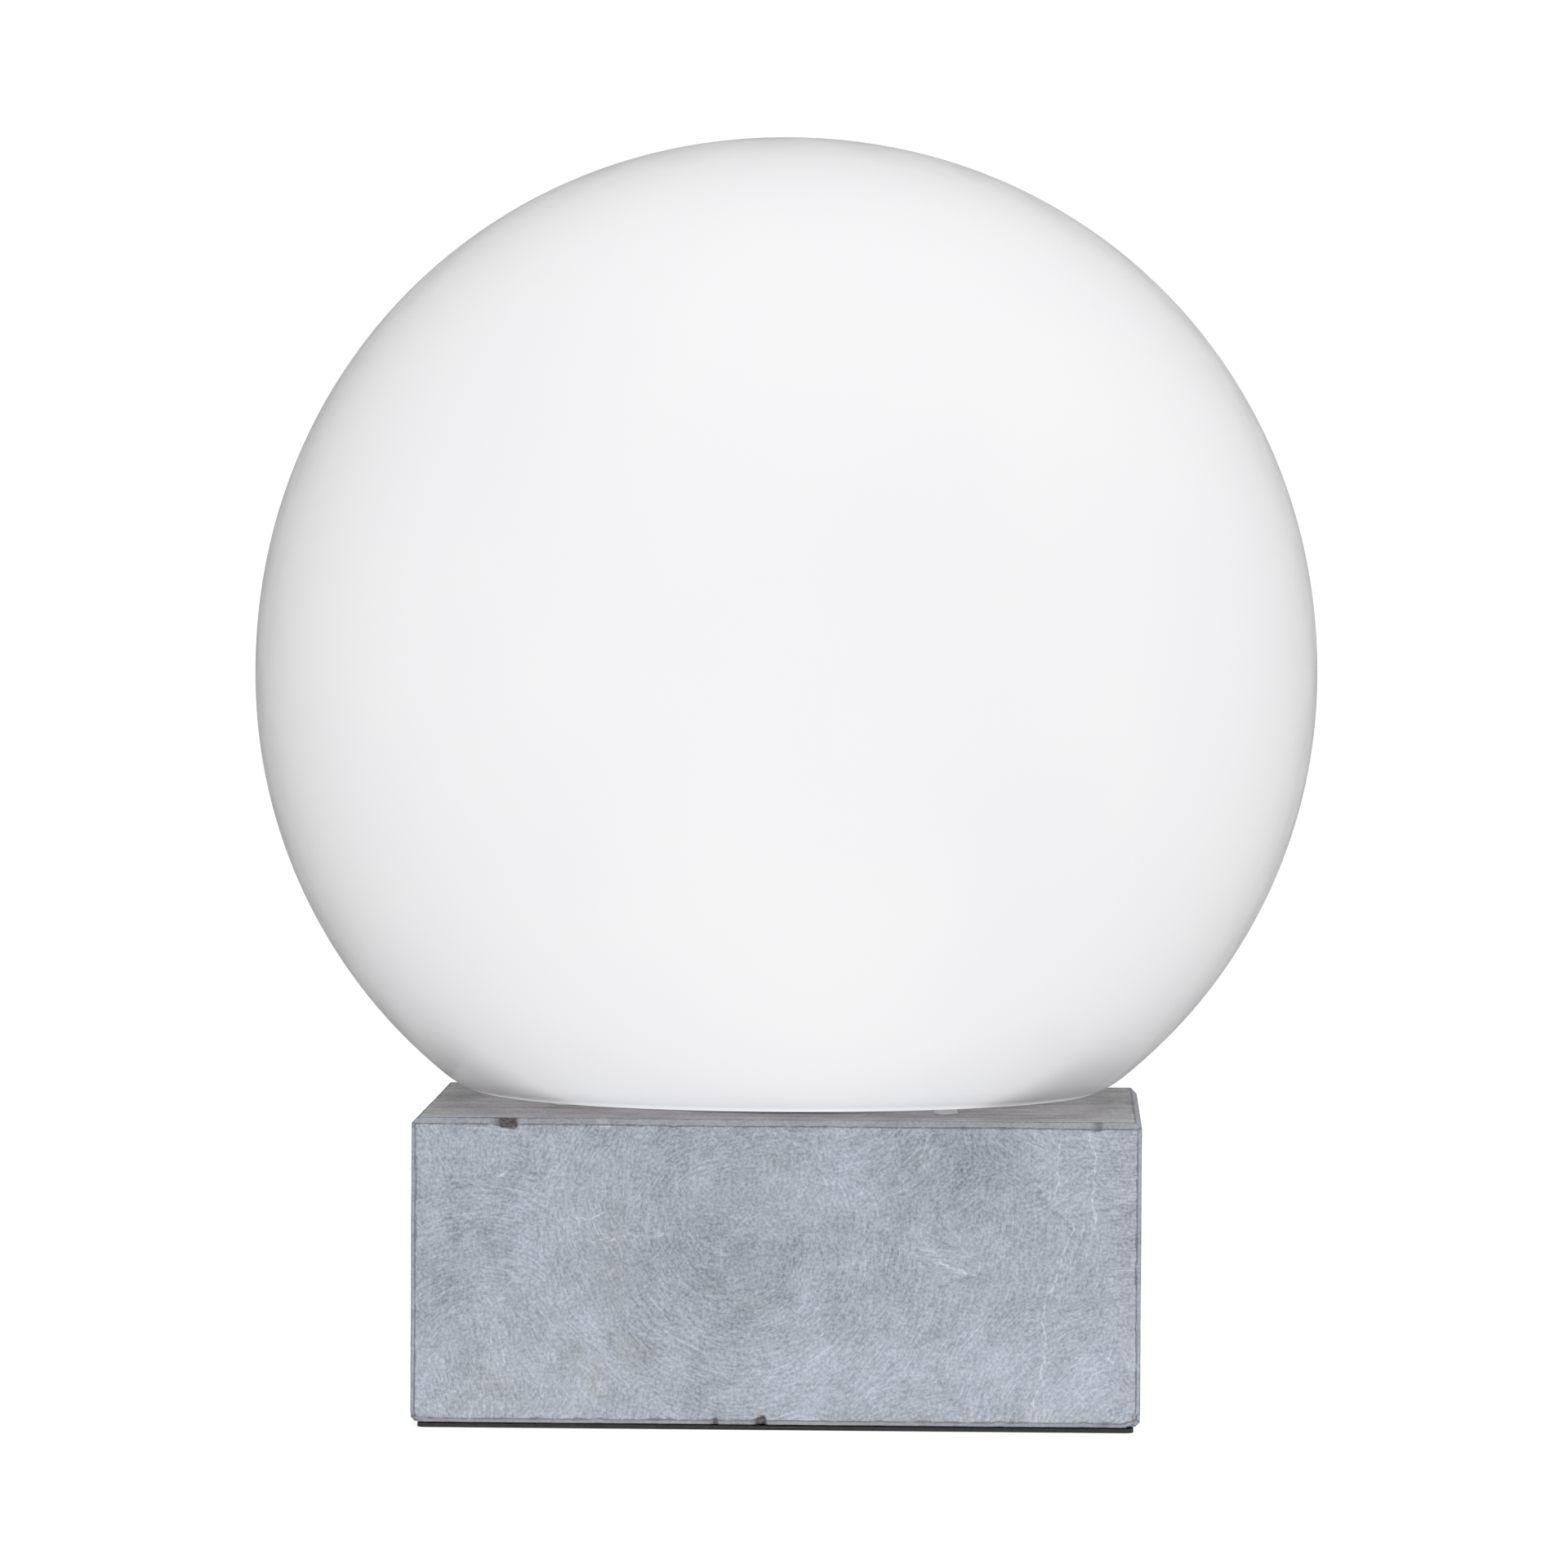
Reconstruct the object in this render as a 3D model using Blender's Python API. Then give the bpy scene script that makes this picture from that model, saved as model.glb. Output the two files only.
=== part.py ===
"""Table lamp: an opal glass globe on a stone block, with its lampholder and LED bulb.

Units are metres, +Z is up and the front faces -Y. The origin is at the middle of the pad's underside,
on the axis that the globe, the lampholder and the bulb share.
"""

import math

import bmesh
import bpy
from mathutils import Matrix, Vector

MM = 0.001
GAP = 0.3 * MM
ROUND = 32
SMALL_ROUND = 20
FINE = 1e-6
PAST = 1 * MM

# Driving dimensions.
GLOBE_RADIUS = 125.1 * MM
GLOBE_UPPER_HEIGHT = 126.1 * MM
GLOBE_LOWER_HEIGHT = 122.6 * MM
GLOBE_UPPER_POWER = 2.04
GLOBE_LOWER_POWER = 2.02
GLASS = 3.6 * MM
BLOCK_WIDTH = 168 * MM
BLOCK_DEPTH = 120 * MM
BLOCK_HEIGHT = 70.3 * MM
PAD_THICKNESS = 1.0 * MM
TUBE_RADIUS = 5.0 * MM
EDISON_PITCH = 3.629 * MM
EDISON_DEPTH = 1.0 * MM
EDISON_RADIUS = 12.65 * MM
SOCKET_CLEARANCE = 0.35 * MM
SHEET = 0.5 * MM
WASHER_THICKNESS = 1.8 * MM
LOCK_WASHER_THICKNESS = 0.9 * MM
BULB_RADIUS = 30 * MM

# Heights worked out from them, going up the axis.
BLOCK_BOTTOM = PAD_THICKNESS + GAP
BLOCK_TOP = BLOCK_BOTTOM + BLOCK_HEIGHT
GLOBE_CENTRE = BLOCK_TOP + 101.4 * MM
RECESS_TOP = BLOCK_BOTTOM + 22 * MM
CORD_HEIGHT = BLOCK_BOTTOM + 12.7 * MM
NUT_HEIGHT = 4 * MM
LOWER_NUT_BOTTOM = RECESS_TOP - 3 * GAP - WASHER_THICKNESS - LOCK_WASHER_THICKNESS - NUT_HEIGHT
DISC_BOTTOM = BLOCK_TOP + GAP
DISC_TOP = DISC_BOTTOM + 4.5 * MM
UPPER_NUT_BOTTOM = DISC_TOP + GAP
HOLDER_BOTTOM = UPPER_NUT_BOTTOM + NUT_HEIGHT + GAP
GRUB_SCREW_HEIGHT = HOLDER_BOTTOM + 4.5 * MM
HOLDER_SPLIT = HOLDER_BOTTOM + 23 * MM
INSERT_TOP = HOLDER_BOTTOM + 26 * MM
INSERT_BOTTOM = INSERT_TOP - 8 * MM
SHELL_TOP = INSERT_TOP + 25 * MM
TIP_BOTTOM = INSERT_TOP + 3.75 * MM
TIP_TOP = TIP_BOTTOM + 1.4 * MM
CAP_BOTTOM = TIP_BOTTOM + 3.4 * MM
CAP_TOP = CAP_BOTTOM + 22.6 * MM
HOUSING_TOP = TIP_BOTTOM + 61 * MM
BULB_TOP = TIP_BOTTOM + 102 * MM

# Sizes that more than one piece shares.
CLEAR_BORE = TUBE_RADIUS + GAP
MOUTH_RADIUS = 38.5 * MM
LEVEL_RADIUS = 46 * MM
RIM_RADIUS = 70.6 * MM
RECESS_RADIUS = 21 * MM
CORD_HOLE_RADIUS = 4.8 * MM
HOLDER_RADIUS = 19.5 * MM
HOLDER_WALL = 1.8 * MM
TERMINAL_OFFSET = 10 * MM
TERMINAL_HOLE = 1.9 * MM
CONTACT_WIDTH = 5 * MM
BULB_EDGE_RADIUS = BULB_RADIUS - 1 * MM


def clear_scene():
    for obj in list(bpy.data.objects):
        bpy.data.objects.remove(obj, do_unlink=True)


def material(name, colour, roughness, metallic=0.0, transmission=0.0):
    made = bpy.data.materials.new(name)
    made.use_nodes = True
    shader = made.node_tree.nodes["Principled BSDF"]
    shader.inputs["Base Color"].default_value = (*colour, 1)
    shader.inputs["Roughness"].default_value = roughness
    shader.inputs["Metallic"].default_value = metallic
    shader.inputs["Transmission Weight"].default_value = transmission
    return made


def as_object(name, bm, finish, smooth=True):
    bmesh.ops.remove_doubles(bm, verts=bm.verts, dist=FINE)
    bmesh.ops.recalc_face_normals(bm, faces=bm.faces)
    mesh = bpy.data.meshes.new(name)
    bm.to_mesh(mesh)
    bm.free()
    mesh.materials.append(finish)
    if smooth:
        mesh.shade_smooth()
        mesh.set_sharp_from_angle(angle=math.radians(35))
    obj = bpy.data.objects.new(name, mesh)
    bpy.context.scene.collection.objects.link(obj)
    return obj


def spun(profile, steps=ROUND, closed=True):
    """A turned solid: its (radius, height) outline carried once round Z."""
    bm = bmesh.new()
    points = [bm.verts.new((r, 0, z)) for r, z in profile]
    ends = points[1:] + points[:1] if closed else points[1:]
    edges = [bm.edges.new(pair) for pair in zip(points, ends)]
    bmesh.ops.spin(
        bm,
        geom=points + edges,
        axis=(0, 0, 1),
        cent=(0, 0, 0),
        angle=math.tau,
        steps=steps,
        use_merge=True,
    )
    bmesh.ops.remove_doubles(bm, verts=bm.verts, dist=FINE)
    return bm


def tube_profile(outer, inner, low, high):
    return [(outer, high), (outer, low), (inner, low), (inner, high)]


def rod(radius, low, high, steps=SMALL_ROUND, chamfer=0.0):
    side = [(radius, high), (radius, low)]
    if chamfer:
        side = [
            (radius - chamfer, high),
            (radius, high - chamfer),
            (radius, low + chamfer),
            (radius - chamfer, low),
        ]
    return spun([(0, high), *side, (0, low)], steps, closed=False)


def rounded(start, corner, end, steps=3):
    """Points that turn a corner smoothly, from just after start to end."""
    points = []
    for i in range(1, steps + 1):
        t = i / steps
        blend = ((1 - t) ** 2, 2 * t * (1 - t), t * t)
        points.append(tuple(sum(w * p[k] for w, p in zip(blend, (start, corner, end))) for k in (0, 1)))
    return points


def box(size, centre):
    bm = bmesh.new()
    bmesh.ops.create_cube(bm, size=1.0)
    bmesh.ops.scale(bm, vec=size, verts=bm.verts)
    bmesh.ops.translate(bm, vec=centre, verts=bm.verts)
    return bm


def moved(bm, matrix):
    bmesh.ops.transform(bm, matrix=matrix, verts=bm.verts)
    return bm


def combine(obj, other, operation):
    """Adds a Boolean with a hidden helper made from a bmesh."""
    helper = as_object(f"{obj.name}_{operation.lower()}_{len(obj.modifiers)}", other, obj.data.materials[0])
    helper.hide_render = True
    helper.display_type = "WIRE"
    modifier = obj.modifiers.new(helper.name, "BOOLEAN")
    modifier.operation = operation
    modifier.object = helper
    return obj


def cut(obj, other):
    return combine(obj, other, "DIFFERENCE")


def add_bevel(obj, width, segments=1):
    modifier = obj.modifiers.new("arris", "BEVEL")
    modifier.width = width
    modifier.segments = segments
    modifier.limit_method = "ANGLE"
    return obj


def facing_y(bm, place):
    """Turns a solid made along Z so that its top faces +Y, and places it."""
    return moved(bm, Matrix.Translation(place) @ Matrix.Rotation(-math.pi / 2, 4, "X"))


def roll_thread(bm, low, high, ends):
    """Rolls the round Edison thread into a thin shell, right-handed.

    It runs out at both ends, inwards on a cap (ends -1) and outwards in a socket (ends 1).
    """
    for vert in bm.verts:
        radius = math.hypot(vert.co.x, vert.co.y)
        if not low - FINE < vert.co.z < high + FINE:
            continue
        fade = min(1.0, abs(vert.co.z - low) / EDISON_PITCH, abs(high - vert.co.z) / EDISON_PITCH)
        turn = math.tau * vert.co.z / EDISON_PITCH - math.atan2(vert.co.y, vert.co.x)
        shift = EDISON_DEPTH / 2 * (fade * math.cos(turn) + (1 - fade) * ends)
        vert.co.x *= (radius + shift) / radius
        vert.co.y *= (radius + shift) / radius
    return bm


def rows(radius, low, high):
    """Outline points down a shell wall, five to each turn of the thread."""
    count = round((high - low) / EDISON_PITCH * 5)
    return [(radius, high + (low - high) * i / count) for i in range(count + 1)]


# Stone base


def stone_block(finish):
    size = (BLOCK_WIDTH, BLOCK_DEPTH, BLOCK_HEIGHT)
    middle = (0, 0, (BLOCK_BOTTOM + BLOCK_TOP) / 2)
    arris = 1.0 * MM
    bore_radius = TUBE_RADIUS + 2 * GAP
    block = as_object("stone_block", box(size, middle), finish, smooth=False)
    add_bevel(block, arris)
    cut(block, rod(bore_radius, 0, BLOCK_TOP + PAST))
    cut(block, rod(RECESS_RADIUS, 0, RECESS_TOP, ROUND))
    cord_hole = rod(CORD_HOLE_RADIUS, 0.7 * RECESS_RADIUS, BLOCK_DEPTH / 2 + PAST)
    cut(block, facing_y(cord_hole, (0, 0, CORD_HEIGHT)))
    return block


def base_pad(finish):
    inset = 1.5 * MM
    corner = 2 * MM
    size = (BLOCK_WIDTH - 2 * inset, BLOCK_DEPTH - 2 * inset, PAD_THICKNESS)
    bm = box(size, (0, 0, PAD_THICKNESS / 2))
    upright = [e for e in bm.edges if abs(e.verts[0].co.z - e.verts[1].co.z) > FINE]
    bmesh.ops.bevel(bm, geom=upright, offset=corner, segments=4, affect="EDGES", profile=0.5)
    return as_object("base_pad", bm, finish, smooth=False)


def cord_bush(finish):
    bore = 3.1 * MM
    stem = CORD_HOLE_RADIUS - GAP
    flange = 7.0 * MM
    stem_length = 10 * MM
    flange_height = 1.8 * MM
    chamfer = 0.6 * MM
    profile = [
        (flange - chamfer, flange_height),
        (flange, flange_height - chamfer),
        (flange, 0),
        (stem, 0),
        (stem, -stem_length),
        (bore, -stem_length),
        (bore, flange_height),
    ]
    place = (0, BLOCK_DEPTH / 2 + GAP, CORD_HEIGHT)
    return as_object("cord_bush", facing_y(spun(profile, SMALL_ROUND), place), finish)


# Fixings on the hollow tube


def threaded_tube(finish):
    bore = 4.0 * MM
    low = RECESS_TOP - 11.3 * MM
    high = HOLDER_BOTTOM + 9.5 * MM
    return as_object("threaded_tube", spun(tube_profile(TUBE_RADIUS, bore, low, high), SMALL_ROUND), finish)


def tube_washer(finish):
    radius = 17 * MM
    top = RECESS_TOP - GAP
    profile = tube_profile(radius, CLEAR_BORE, top - WASHER_THICKNESS, top)
    return as_object("tube_washer", spun(profile), finish)


def lock_washer(finish):
    """A toothed lock washer: two points in every four round the rim are pulled in."""
    rim = 9 * MM
    tooth_depth = 0.2
    top = RECESS_TOP - 2 * GAP - WASHER_THICKNESS
    bm = spun(tube_profile(rim, CLEAR_BORE, top - LOCK_WASHER_THICKNESS, top))
    for vert in bm.verts:
        outside = math.hypot(vert.co.x, vert.co.y) > (rim + CLEAR_BORE) / 2
        step = round(math.atan2(vert.co.y, vert.co.x) / math.tau * ROUND)
        if outside and step % 4 in (0, 1):
            vert.co.x *= 1 - tooth_depth
            vert.co.y *= 1 - tooth_depth
    return as_object("lock_washer", bm, finish, smooth=False)


def hex_nut(name, bottom, finish):
    across_flats = 14 * MM
    corner = across_flats / math.sqrt(3)
    bevel = 1.1 * MM
    top = bottom + NUT_HEIGHT
    nut = as_object(name, rod(corner, bottom, top, 6), finish, smooth=False)
    turned = rod(corner + 0.1 * MM, bottom - GAP / 2, top + GAP / 2, SMALL_ROUND, bevel)
    combine(nut, turned, "INTERSECT")
    cut(nut, rod(CLEAR_BORE, bottom - PAST, top + PAST))
    return nut


def centring_disc(finish):
    radius = MOUTH_RADIUS - 2.5 * MM
    edge = 1.0 * MM
    profile = [
        (radius - edge, DISC_TOP),
        (radius, DISC_TOP - edge),
        (radius, DISC_BOTTOM),
        (CLEAR_BORE, DISC_BOTTOM),
        (CLEAR_BORE, DISC_TOP),
    ]
    return as_object("centring_disc", spun(profile), finish)


# Lampholder


def holder_cap(finish):
    """The lower half: a neck that screws on the tube, opening out through a rounded shoulder."""
    low = HOLDER_BOTTOM
    neck = 9.5 * MM
    neck_top = low + 9.5 * MM
    shoulder_top = low + 17 * MM
    inside = HOLDER_RADIUS - HOLDER_WALL
    outer_start = (HOLDER_RADIUS, shoulder_top)
    outer_shoulder = rounded(outer_start, (HOLDER_RADIUS, low + 12 * MM), (neck, neck_top), 4)
    inner_low = low + 12.2 * MM
    inner_top = shoulder_top + 0.8 * MM
    inner_shoulder = rounded((CLEAR_BORE, inner_low), (inside, inner_low), (inside, inner_top), 3)
    profile = [(HOLDER_RADIUS, HOLDER_SPLIT), outer_start]
    profile += outer_shoulder
    profile += [(neck, low), (CLEAR_BORE, low), (CLEAR_BORE, inner_low)]
    profile += inner_shoulder
    profile += [(inside, HOLDER_SPLIT)]
    cap = as_object("holder_cap", spun(profile), finish)
    screw_hole_radius = 2.3 * MM
    screw_hole = rod(screw_hole_radius, 0, neck + PAST)
    return cut(cap, facing_y(screw_hole, (0, 0, GRUB_SCREW_HEIGHT)))


def holder_grub_screw(finish):
    radius = 2.0 * MM
    low = CLEAR_BORE + 0.2 * MM
    high = low + 5 * MM
    chamfer = 0.3 * MM
    slot_width = 0.7 * MM
    slot_depth = 0.8 * MM
    bm = facing_y(rod(radius, low, high, SMALL_ROUND, chamfer), (0, 0, GRUB_SCREW_HEIGHT))
    screw = as_object("holder_grub_screw", bm, finish)
    return cut(screw, box((3 * radius, 2 * slot_depth, slot_width), (0, high, GRUB_SCREW_HEIGHT)))


def holder_sleeve(finish):
    low = HOLDER_SPLIT + GAP
    high = low + 29 * MM
    bead = 0.8 * MM
    profile = [
        (HOLDER_RADIUS, high),
        (HOLDER_RADIUS + bead, high - bead),
        (HOLDER_RADIUS + bead, high - 2 * bead),
        (HOLDER_RADIUS, high - 3 * bead),
        (HOLDER_RADIUS, low),
        (HOLDER_RADIUS - HOLDER_WALL, low),
        (HOLDER_RADIUS - HOLDER_WALL, high),
    ]
    return as_object("holder_sleeve", spun(profile), finish)


def holder_insert(finish):
    """The terminal block, with a collar round the screw shell and a slot for the side contact."""
    outside = HOLDER_RADIUS - HOLDER_WALL - 0.4 * MM
    collar = 14.6 * MM
    collar_height = 3 * MM
    profile = [
        (0, INSERT_TOP),
        (collar, INSERT_TOP),
        (collar, INSERT_TOP + collar_height),
        (outside, INSERT_TOP + collar_height),
        (outside, INSERT_BOTTOM),
        (0, INSERT_BOTTOM),
    ]
    insert = as_object("holder_insert", spun(profile, closed=False), finish)
    for side in (-1, 1):
        hole = rod(TERMINAL_HOLE, INSERT_BOTTOM - PAST, INSERT_TOP - 2.4 * MM, 16)
        cut(insert, moved(hole, Matrix.Translation((side * TERMINAL_OFFSET, 0, 0))))
    slot_width = CONTACT_WIDTH + 2 * GAP
    slot_depth = 1.2 * MM
    slot_middle = (TERMINAL_OFFSET + outside) / 2
    cut(insert, box((10 * MM, slot_width, 2 * slot_depth), (slot_middle, 0, INSERT_TOP)))
    gate = box((5 * MM, slot_width, 8 * MM), (16 * MM, 0, INSERT_TOP + 4 * MM))
    return cut(insert, gate)


def terminal_screw(name, side, finish):
    underside = INSERT_BOTTOM - GAP
    tip = underside + 5 * MM
    head_bottom = underside - 2 * MM
    head_radius = 2.8 * MM
    shank = TERMINAL_HOLE - GAP
    chamfer = 0.4 * MM
    slot_width = 0.8 * MM
    profile = [
        (0, tip),
        (shank, tip),
        (shank, underside),
        (head_radius, underside),
        (head_radius, head_bottom + chamfer),
        (head_radius - chamfer, head_bottom),
        (0, head_bottom),
    ]
    bm = moved(spun(profile, 16, closed=False), Matrix.Translation((side * TERMINAL_OFFSET, 0, 0)))
    screw = as_object(name, bm, finish)
    slot = box((slot_width, 3 * head_radius, 2 * MM), (side * TERMINAL_OFFSET, 0, head_bottom))
    return cut(screw, slot)


def bent_strip(name, path, finish):
    """A spring strip: a path in the XZ plane, drawn out along Y and thickened."""
    bm = bmesh.new()
    half = CONTACT_WIDTH / 2
    left = [bm.verts.new((x, -half, z)) for x, z in path]
    right = [bm.verts.new((x, half, z)) for x, z in path]
    for i in range(len(path) - 1):
        bm.faces.new((left[i], left[i + 1], right[i + 1], right[i]))
    strip = as_object(name, bm, finish, smooth=False)
    modifier = strip.modifiers.new("sheet", "SOLIDIFY")
    modifier.thickness = SHEET
    modifier.offset = 0
    modifier.use_even_offset = True
    return strip


def centre_contact(finish):
    foot = INSERT_TOP + GAP + SHEET / 2
    path = [
        (-6.8 * MM, foot),
        (-4.2 * MM, foot),
        (-1.6 * MM, foot + 2.0 * MM),
        (0.2 * MM, foot + 2.6 * MM),
        (2.2 * MM, foot + 2.2 * MM),
    ]
    return bent_strip("centre_contact", path, finish)


def side_contact(finish):
    floor = INSERT_TOP - 0.6 * MM
    upright = 14.65 * MM
    path = [(9.2 * MM, floor), (upright, floor), (upright, INSERT_TOP + 5 * MM)]
    return bent_strip("side_contact", path, finish)


def screw_shell(finish):
    inner = EDISON_RADIUS + SOCKET_CLEARANCE
    outer = inner + SHEET
    mouth = inner + EDISON_DEPTH
    floor_hole = 8 * MM
    low = INSERT_TOP + GAP
    thread_low = INSERT_TOP + 4 * MM
    thread_high = SHELL_TOP - 2 * MM
    profile = [(mouth + SHEET, SHELL_TOP)]
    profile += rows(outer, thread_low, thread_high)
    profile += [(outer, low), (floor_hole, low), (floor_hole, low + SHEET), (inner, low + SHEET)]
    profile += rows(inner, thread_low, thread_high)[::-1]
    profile += [(mouth, SHELL_TOP)]
    bm = roll_thread(spun(profile, SMALL_ROUND), thread_low, thread_high, 1)
    return as_object("screw_shell", bm, finish)


# LED bulb


def bulb_tip_contact(finish):
    radius = 4.6 * MM
    profile = [
        (0, TIP_TOP),
        (radius, TIP_TOP),
        (radius, TIP_BOTTOM + 0.8 * MM),
        (radius * 0.7, TIP_BOTTOM + 0.2 * MM),
        (0, TIP_BOTTOM),
    ]
    return as_object("bulb_tip_contact", spun(profile, SMALL_ROUND, closed=False), finish)


def bulb_insulator(finish):
    low = TIP_TOP + GAP
    high = low + 3 * MM
    narrow = 6.6 * MM
    wide = 10.4 * MM
    profile = [(0, high), (wide, high), (narrow, low), (0, low)]
    return as_object("bulb_insulator", spun(profile, SMALL_ROUND, closed=False), finish)


def bulb_cap(finish):
    thread_low = CAP_BOTTOM + 1 * MM
    thread_high = CAP_TOP - 3.5 * MM
    collar = 13.2 * MM
    foot = EDISON_RADIUS - EDISON_DEPTH
    profile = [(collar, CAP_TOP)]
    profile += rows(EDISON_RADIUS, thread_low, thread_high)
    profile += [(foot, CAP_BOTTOM), (foot - SHEET, CAP_BOTTOM)]
    profile += rows(EDISON_RADIUS - SHEET, thread_low, thread_high)[::-1]
    profile += [(collar - SHEET, CAP_TOP)]
    bm = roll_thread(spun(profile, SMALL_ROUND), thread_low, thread_high, -1)
    return as_object("bulb_cap", bm, finish)


def housing_radius(share):
    """Outer radius of the bulb's housing, from its neck at 0 to its rim at 1."""
    neck = 13.6 * MM
    eased = share * share * (3 - 2 * share)
    return neck + (BULB_EDGE_RADIUS - neck) * eased


def bulb_housing(finish):
    wall = 1.6 * MM
    low = CAP_TOP + GAP
    steps = 6
    shares = [1 - i / steps for i in range(steps + 1)]
    heights = [low + (HOUSING_TOP - low) * s for s in shares]
    outside = [(housing_radius(s), z) for s, z in zip(shares, heights)]
    inside = [(r - wall, z) for r, z in outside]
    return as_object("bulb_housing", spun(outside + inside[::-1]), finish)


def bulb_driver_board(finish):
    """The driver's circuit board on edge, with its capacitor, coil and choke."""
    low = CAP_BOTTOM + 8 * MM
    high = HOUSING_TOP - 8 * MM
    size = (16 * MM, 1.6 * MM, high - low)
    board = as_object("bulb_driver_board", box(size, (0, 0, (low + high) / 2)), finish, smooth=False)
    can = rod(3.5 * MM, high - 14 * MM, high - 3 * MM, 16)
    combine(board, moved(can, Matrix.Translation((-3 * MM, 4 * MM, 0))), "UNION")
    coil = box((10 * MM, 6 * MM, 8 * MM), (0, 3.5 * MM, low + 16 * MM))
    combine(board, coil, "UNION")
    choke = box((7 * MM, 4 * MM, 6 * MM), (2 * MM, -2.5 * MM, low + 24 * MM))
    return combine(board, choke, "UNION")


def bulb_led_board(finish):
    """The disc under the diffuser, with its ring of light-emitting chips."""
    radius = 26.4 * MM
    thickness = 1.6 * MM
    top = HOUSING_TOP - 3 * MM
    board = as_object("bulb_led_board", rod(radius, top - thickness, top, ROUND), finish)
    chips = 8
    chip_size = (3 * MM, 3 * MM, 1.4 * MM)
    chip_ring = 18 * MM
    for i in range(chips):
        turn = Matrix.Rotation(math.tau * i / chips, 4, "Z")
        combine(board, moved(box(chip_size, (chip_ring, 0, top)), turn), "UNION")
    return board


def bulb_dome(inset):
    """The diffuser's (radius, height) outline from its rim up to its top."""
    steps = 9
    low = HOUSING_TOP + GAP
    widest = low + 10 * MM
    foot = math.acos(BULB_EDGE_RADIUS / BULB_RADIUS)
    drop = (widest - low) / math.sin(foot)
    rise = BULB_TOP - widest - inset
    points = []
    for i in range(steps + 1):
        angle = (math.pi / 2 + foot) * i / steps - foot
        height = rise if angle > 0 else drop
        points.append(((BULB_RADIUS - inset) * math.cos(angle), widest + height * math.sin(angle)))
    points[-1] = (0, BULB_TOP - inset)
    return points


def bulb_diffuser(finish):
    wall = 1.2 * MM
    profile = bulb_dome(0.0)[::-1] + bulb_dome(wall)
    return as_object("bulb_diffuser", spun(profile, closed=False), finish)


# Shade


def superellipse(angle, radius, height, power):
    across = radius * math.cos(angle) ** (2 / power)
    return across, height * math.sin(angle) ** (2 / power)


def globe_wall(inset):
    """The globe's (radius, height) outline from its top down to the foot of its side wall."""
    upper_steps = 9
    lower_steps = 6
    foot = math.radians(50.1)
    radius = GLOBE_RADIUS - inset
    upper = GLOBE_UPPER_HEIGHT - inset
    lower = GLOBE_LOWER_HEIGHT - inset
    points = [(0, GLOBE_CENTRE + upper)]
    for i in range(1, upper_steps + 1):
        angle = math.pi / 2 * (1 - i / upper_steps)
        across, up = superellipse(angle, radius, upper, GLOBE_UPPER_POWER)
        points.append((across, GLOBE_CENTRE + up))
    for i in range(1, lower_steps + 1):
        angle = foot * i / lower_steps
        across, down = superellipse(angle, radius, lower, GLOBE_LOWER_POWER)
        points.append((across, GLOBE_CENTRE - down))
    return points


def glass_underside(radius):
    """Height of the glass over the stone: lowest near the mouth, rising gently to the rim."""
    lowest = 1.0 * MM
    rise = 1.7 * MM
    share = max(0.0, (radius - LEVEL_RADIUS) / (RIM_RADIUS - LEVEL_RADIUS))
    return BLOCK_TOP + lowest + rise * share


def opal_globe(finish):
    """One blown shell: side wall, rounded heel, nearly flat underside and the mouth's melted lip."""
    lip = MOUTH_RADIUS
    heel = 4.5 * MM
    rim = (RIM_RADIUS, glass_underside(RIM_RADIUS))
    profile = globe_wall(0.0)
    profile += rounded(profile[-1], (RIM_RADIUS + heel, rim[1]), rim)
    profile += [(r, glass_underside(r)) for r in (58 * MM, LEVEL_RADIUS, lip + 1.4 * MM)]
    lip_low = glass_underside(lip)
    lip_high = lip_low + GLASS
    profile += rounded(profile[-1], (lip, lip_low), (lip, lip_low + 1.5 * MM), 2)
    profile += rounded(profile[-1], (lip, lip_high), (lip + 2 * MM, lip_high), 2)
    inside = globe_wall(GLASS)[::-1]
    floor = RIM_RADIUS - heel
    floor_height = glass_underside(floor) + GLASS
    profile.append((floor, floor_height))
    profile += rounded(profile[-1], (floor + 6 * MM, floor_height + 0.3 * MM), inside[0])[:-1]
    return as_object("opal_globe", spun(profile + inside, 40, closed=False), finish)


def glass_bumper(name, turn, finish):
    """A clear silicone dot on the stone, under the glass."""
    ring = 53 * MM
    radius = 2.7 * MM
    low = BLOCK_TOP + GAP
    high = glass_underside(ring - radius) - GAP
    profile = [
        (0, high),
        (radius * 0.75, high - 0.05 * MM),
        (radius * 0.95, (low + high) / 2),
        (radius, low),
        (0, low),
    ]
    place = Matrix.Rotation(turn, 4, "Z") @ Matrix.Translation((0, -ring, 0))
    return as_object(name, moved(spun(profile, SMALL_ROUND, closed=False), place), finish)


# Placing on the joints


def joint_empty(name, height):
    empty = bpy.data.objects.new(name, None)
    empty.location = (0, 0, height)
    bpy.context.scene.collection.objects.link(empty)
    return empty


def hang_on(empty, pieces):
    shift = Matrix.Translation(-Vector(empty.location))
    for piece in pieces:
        piece.data.transform(shift)
        piece.parent = empty
        for modifier in piece.modifiers:
            if modifier.type == "BOOLEAN":
                modifier.object.data.transform(shift)
                modifier.object.parent = empty


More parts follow.
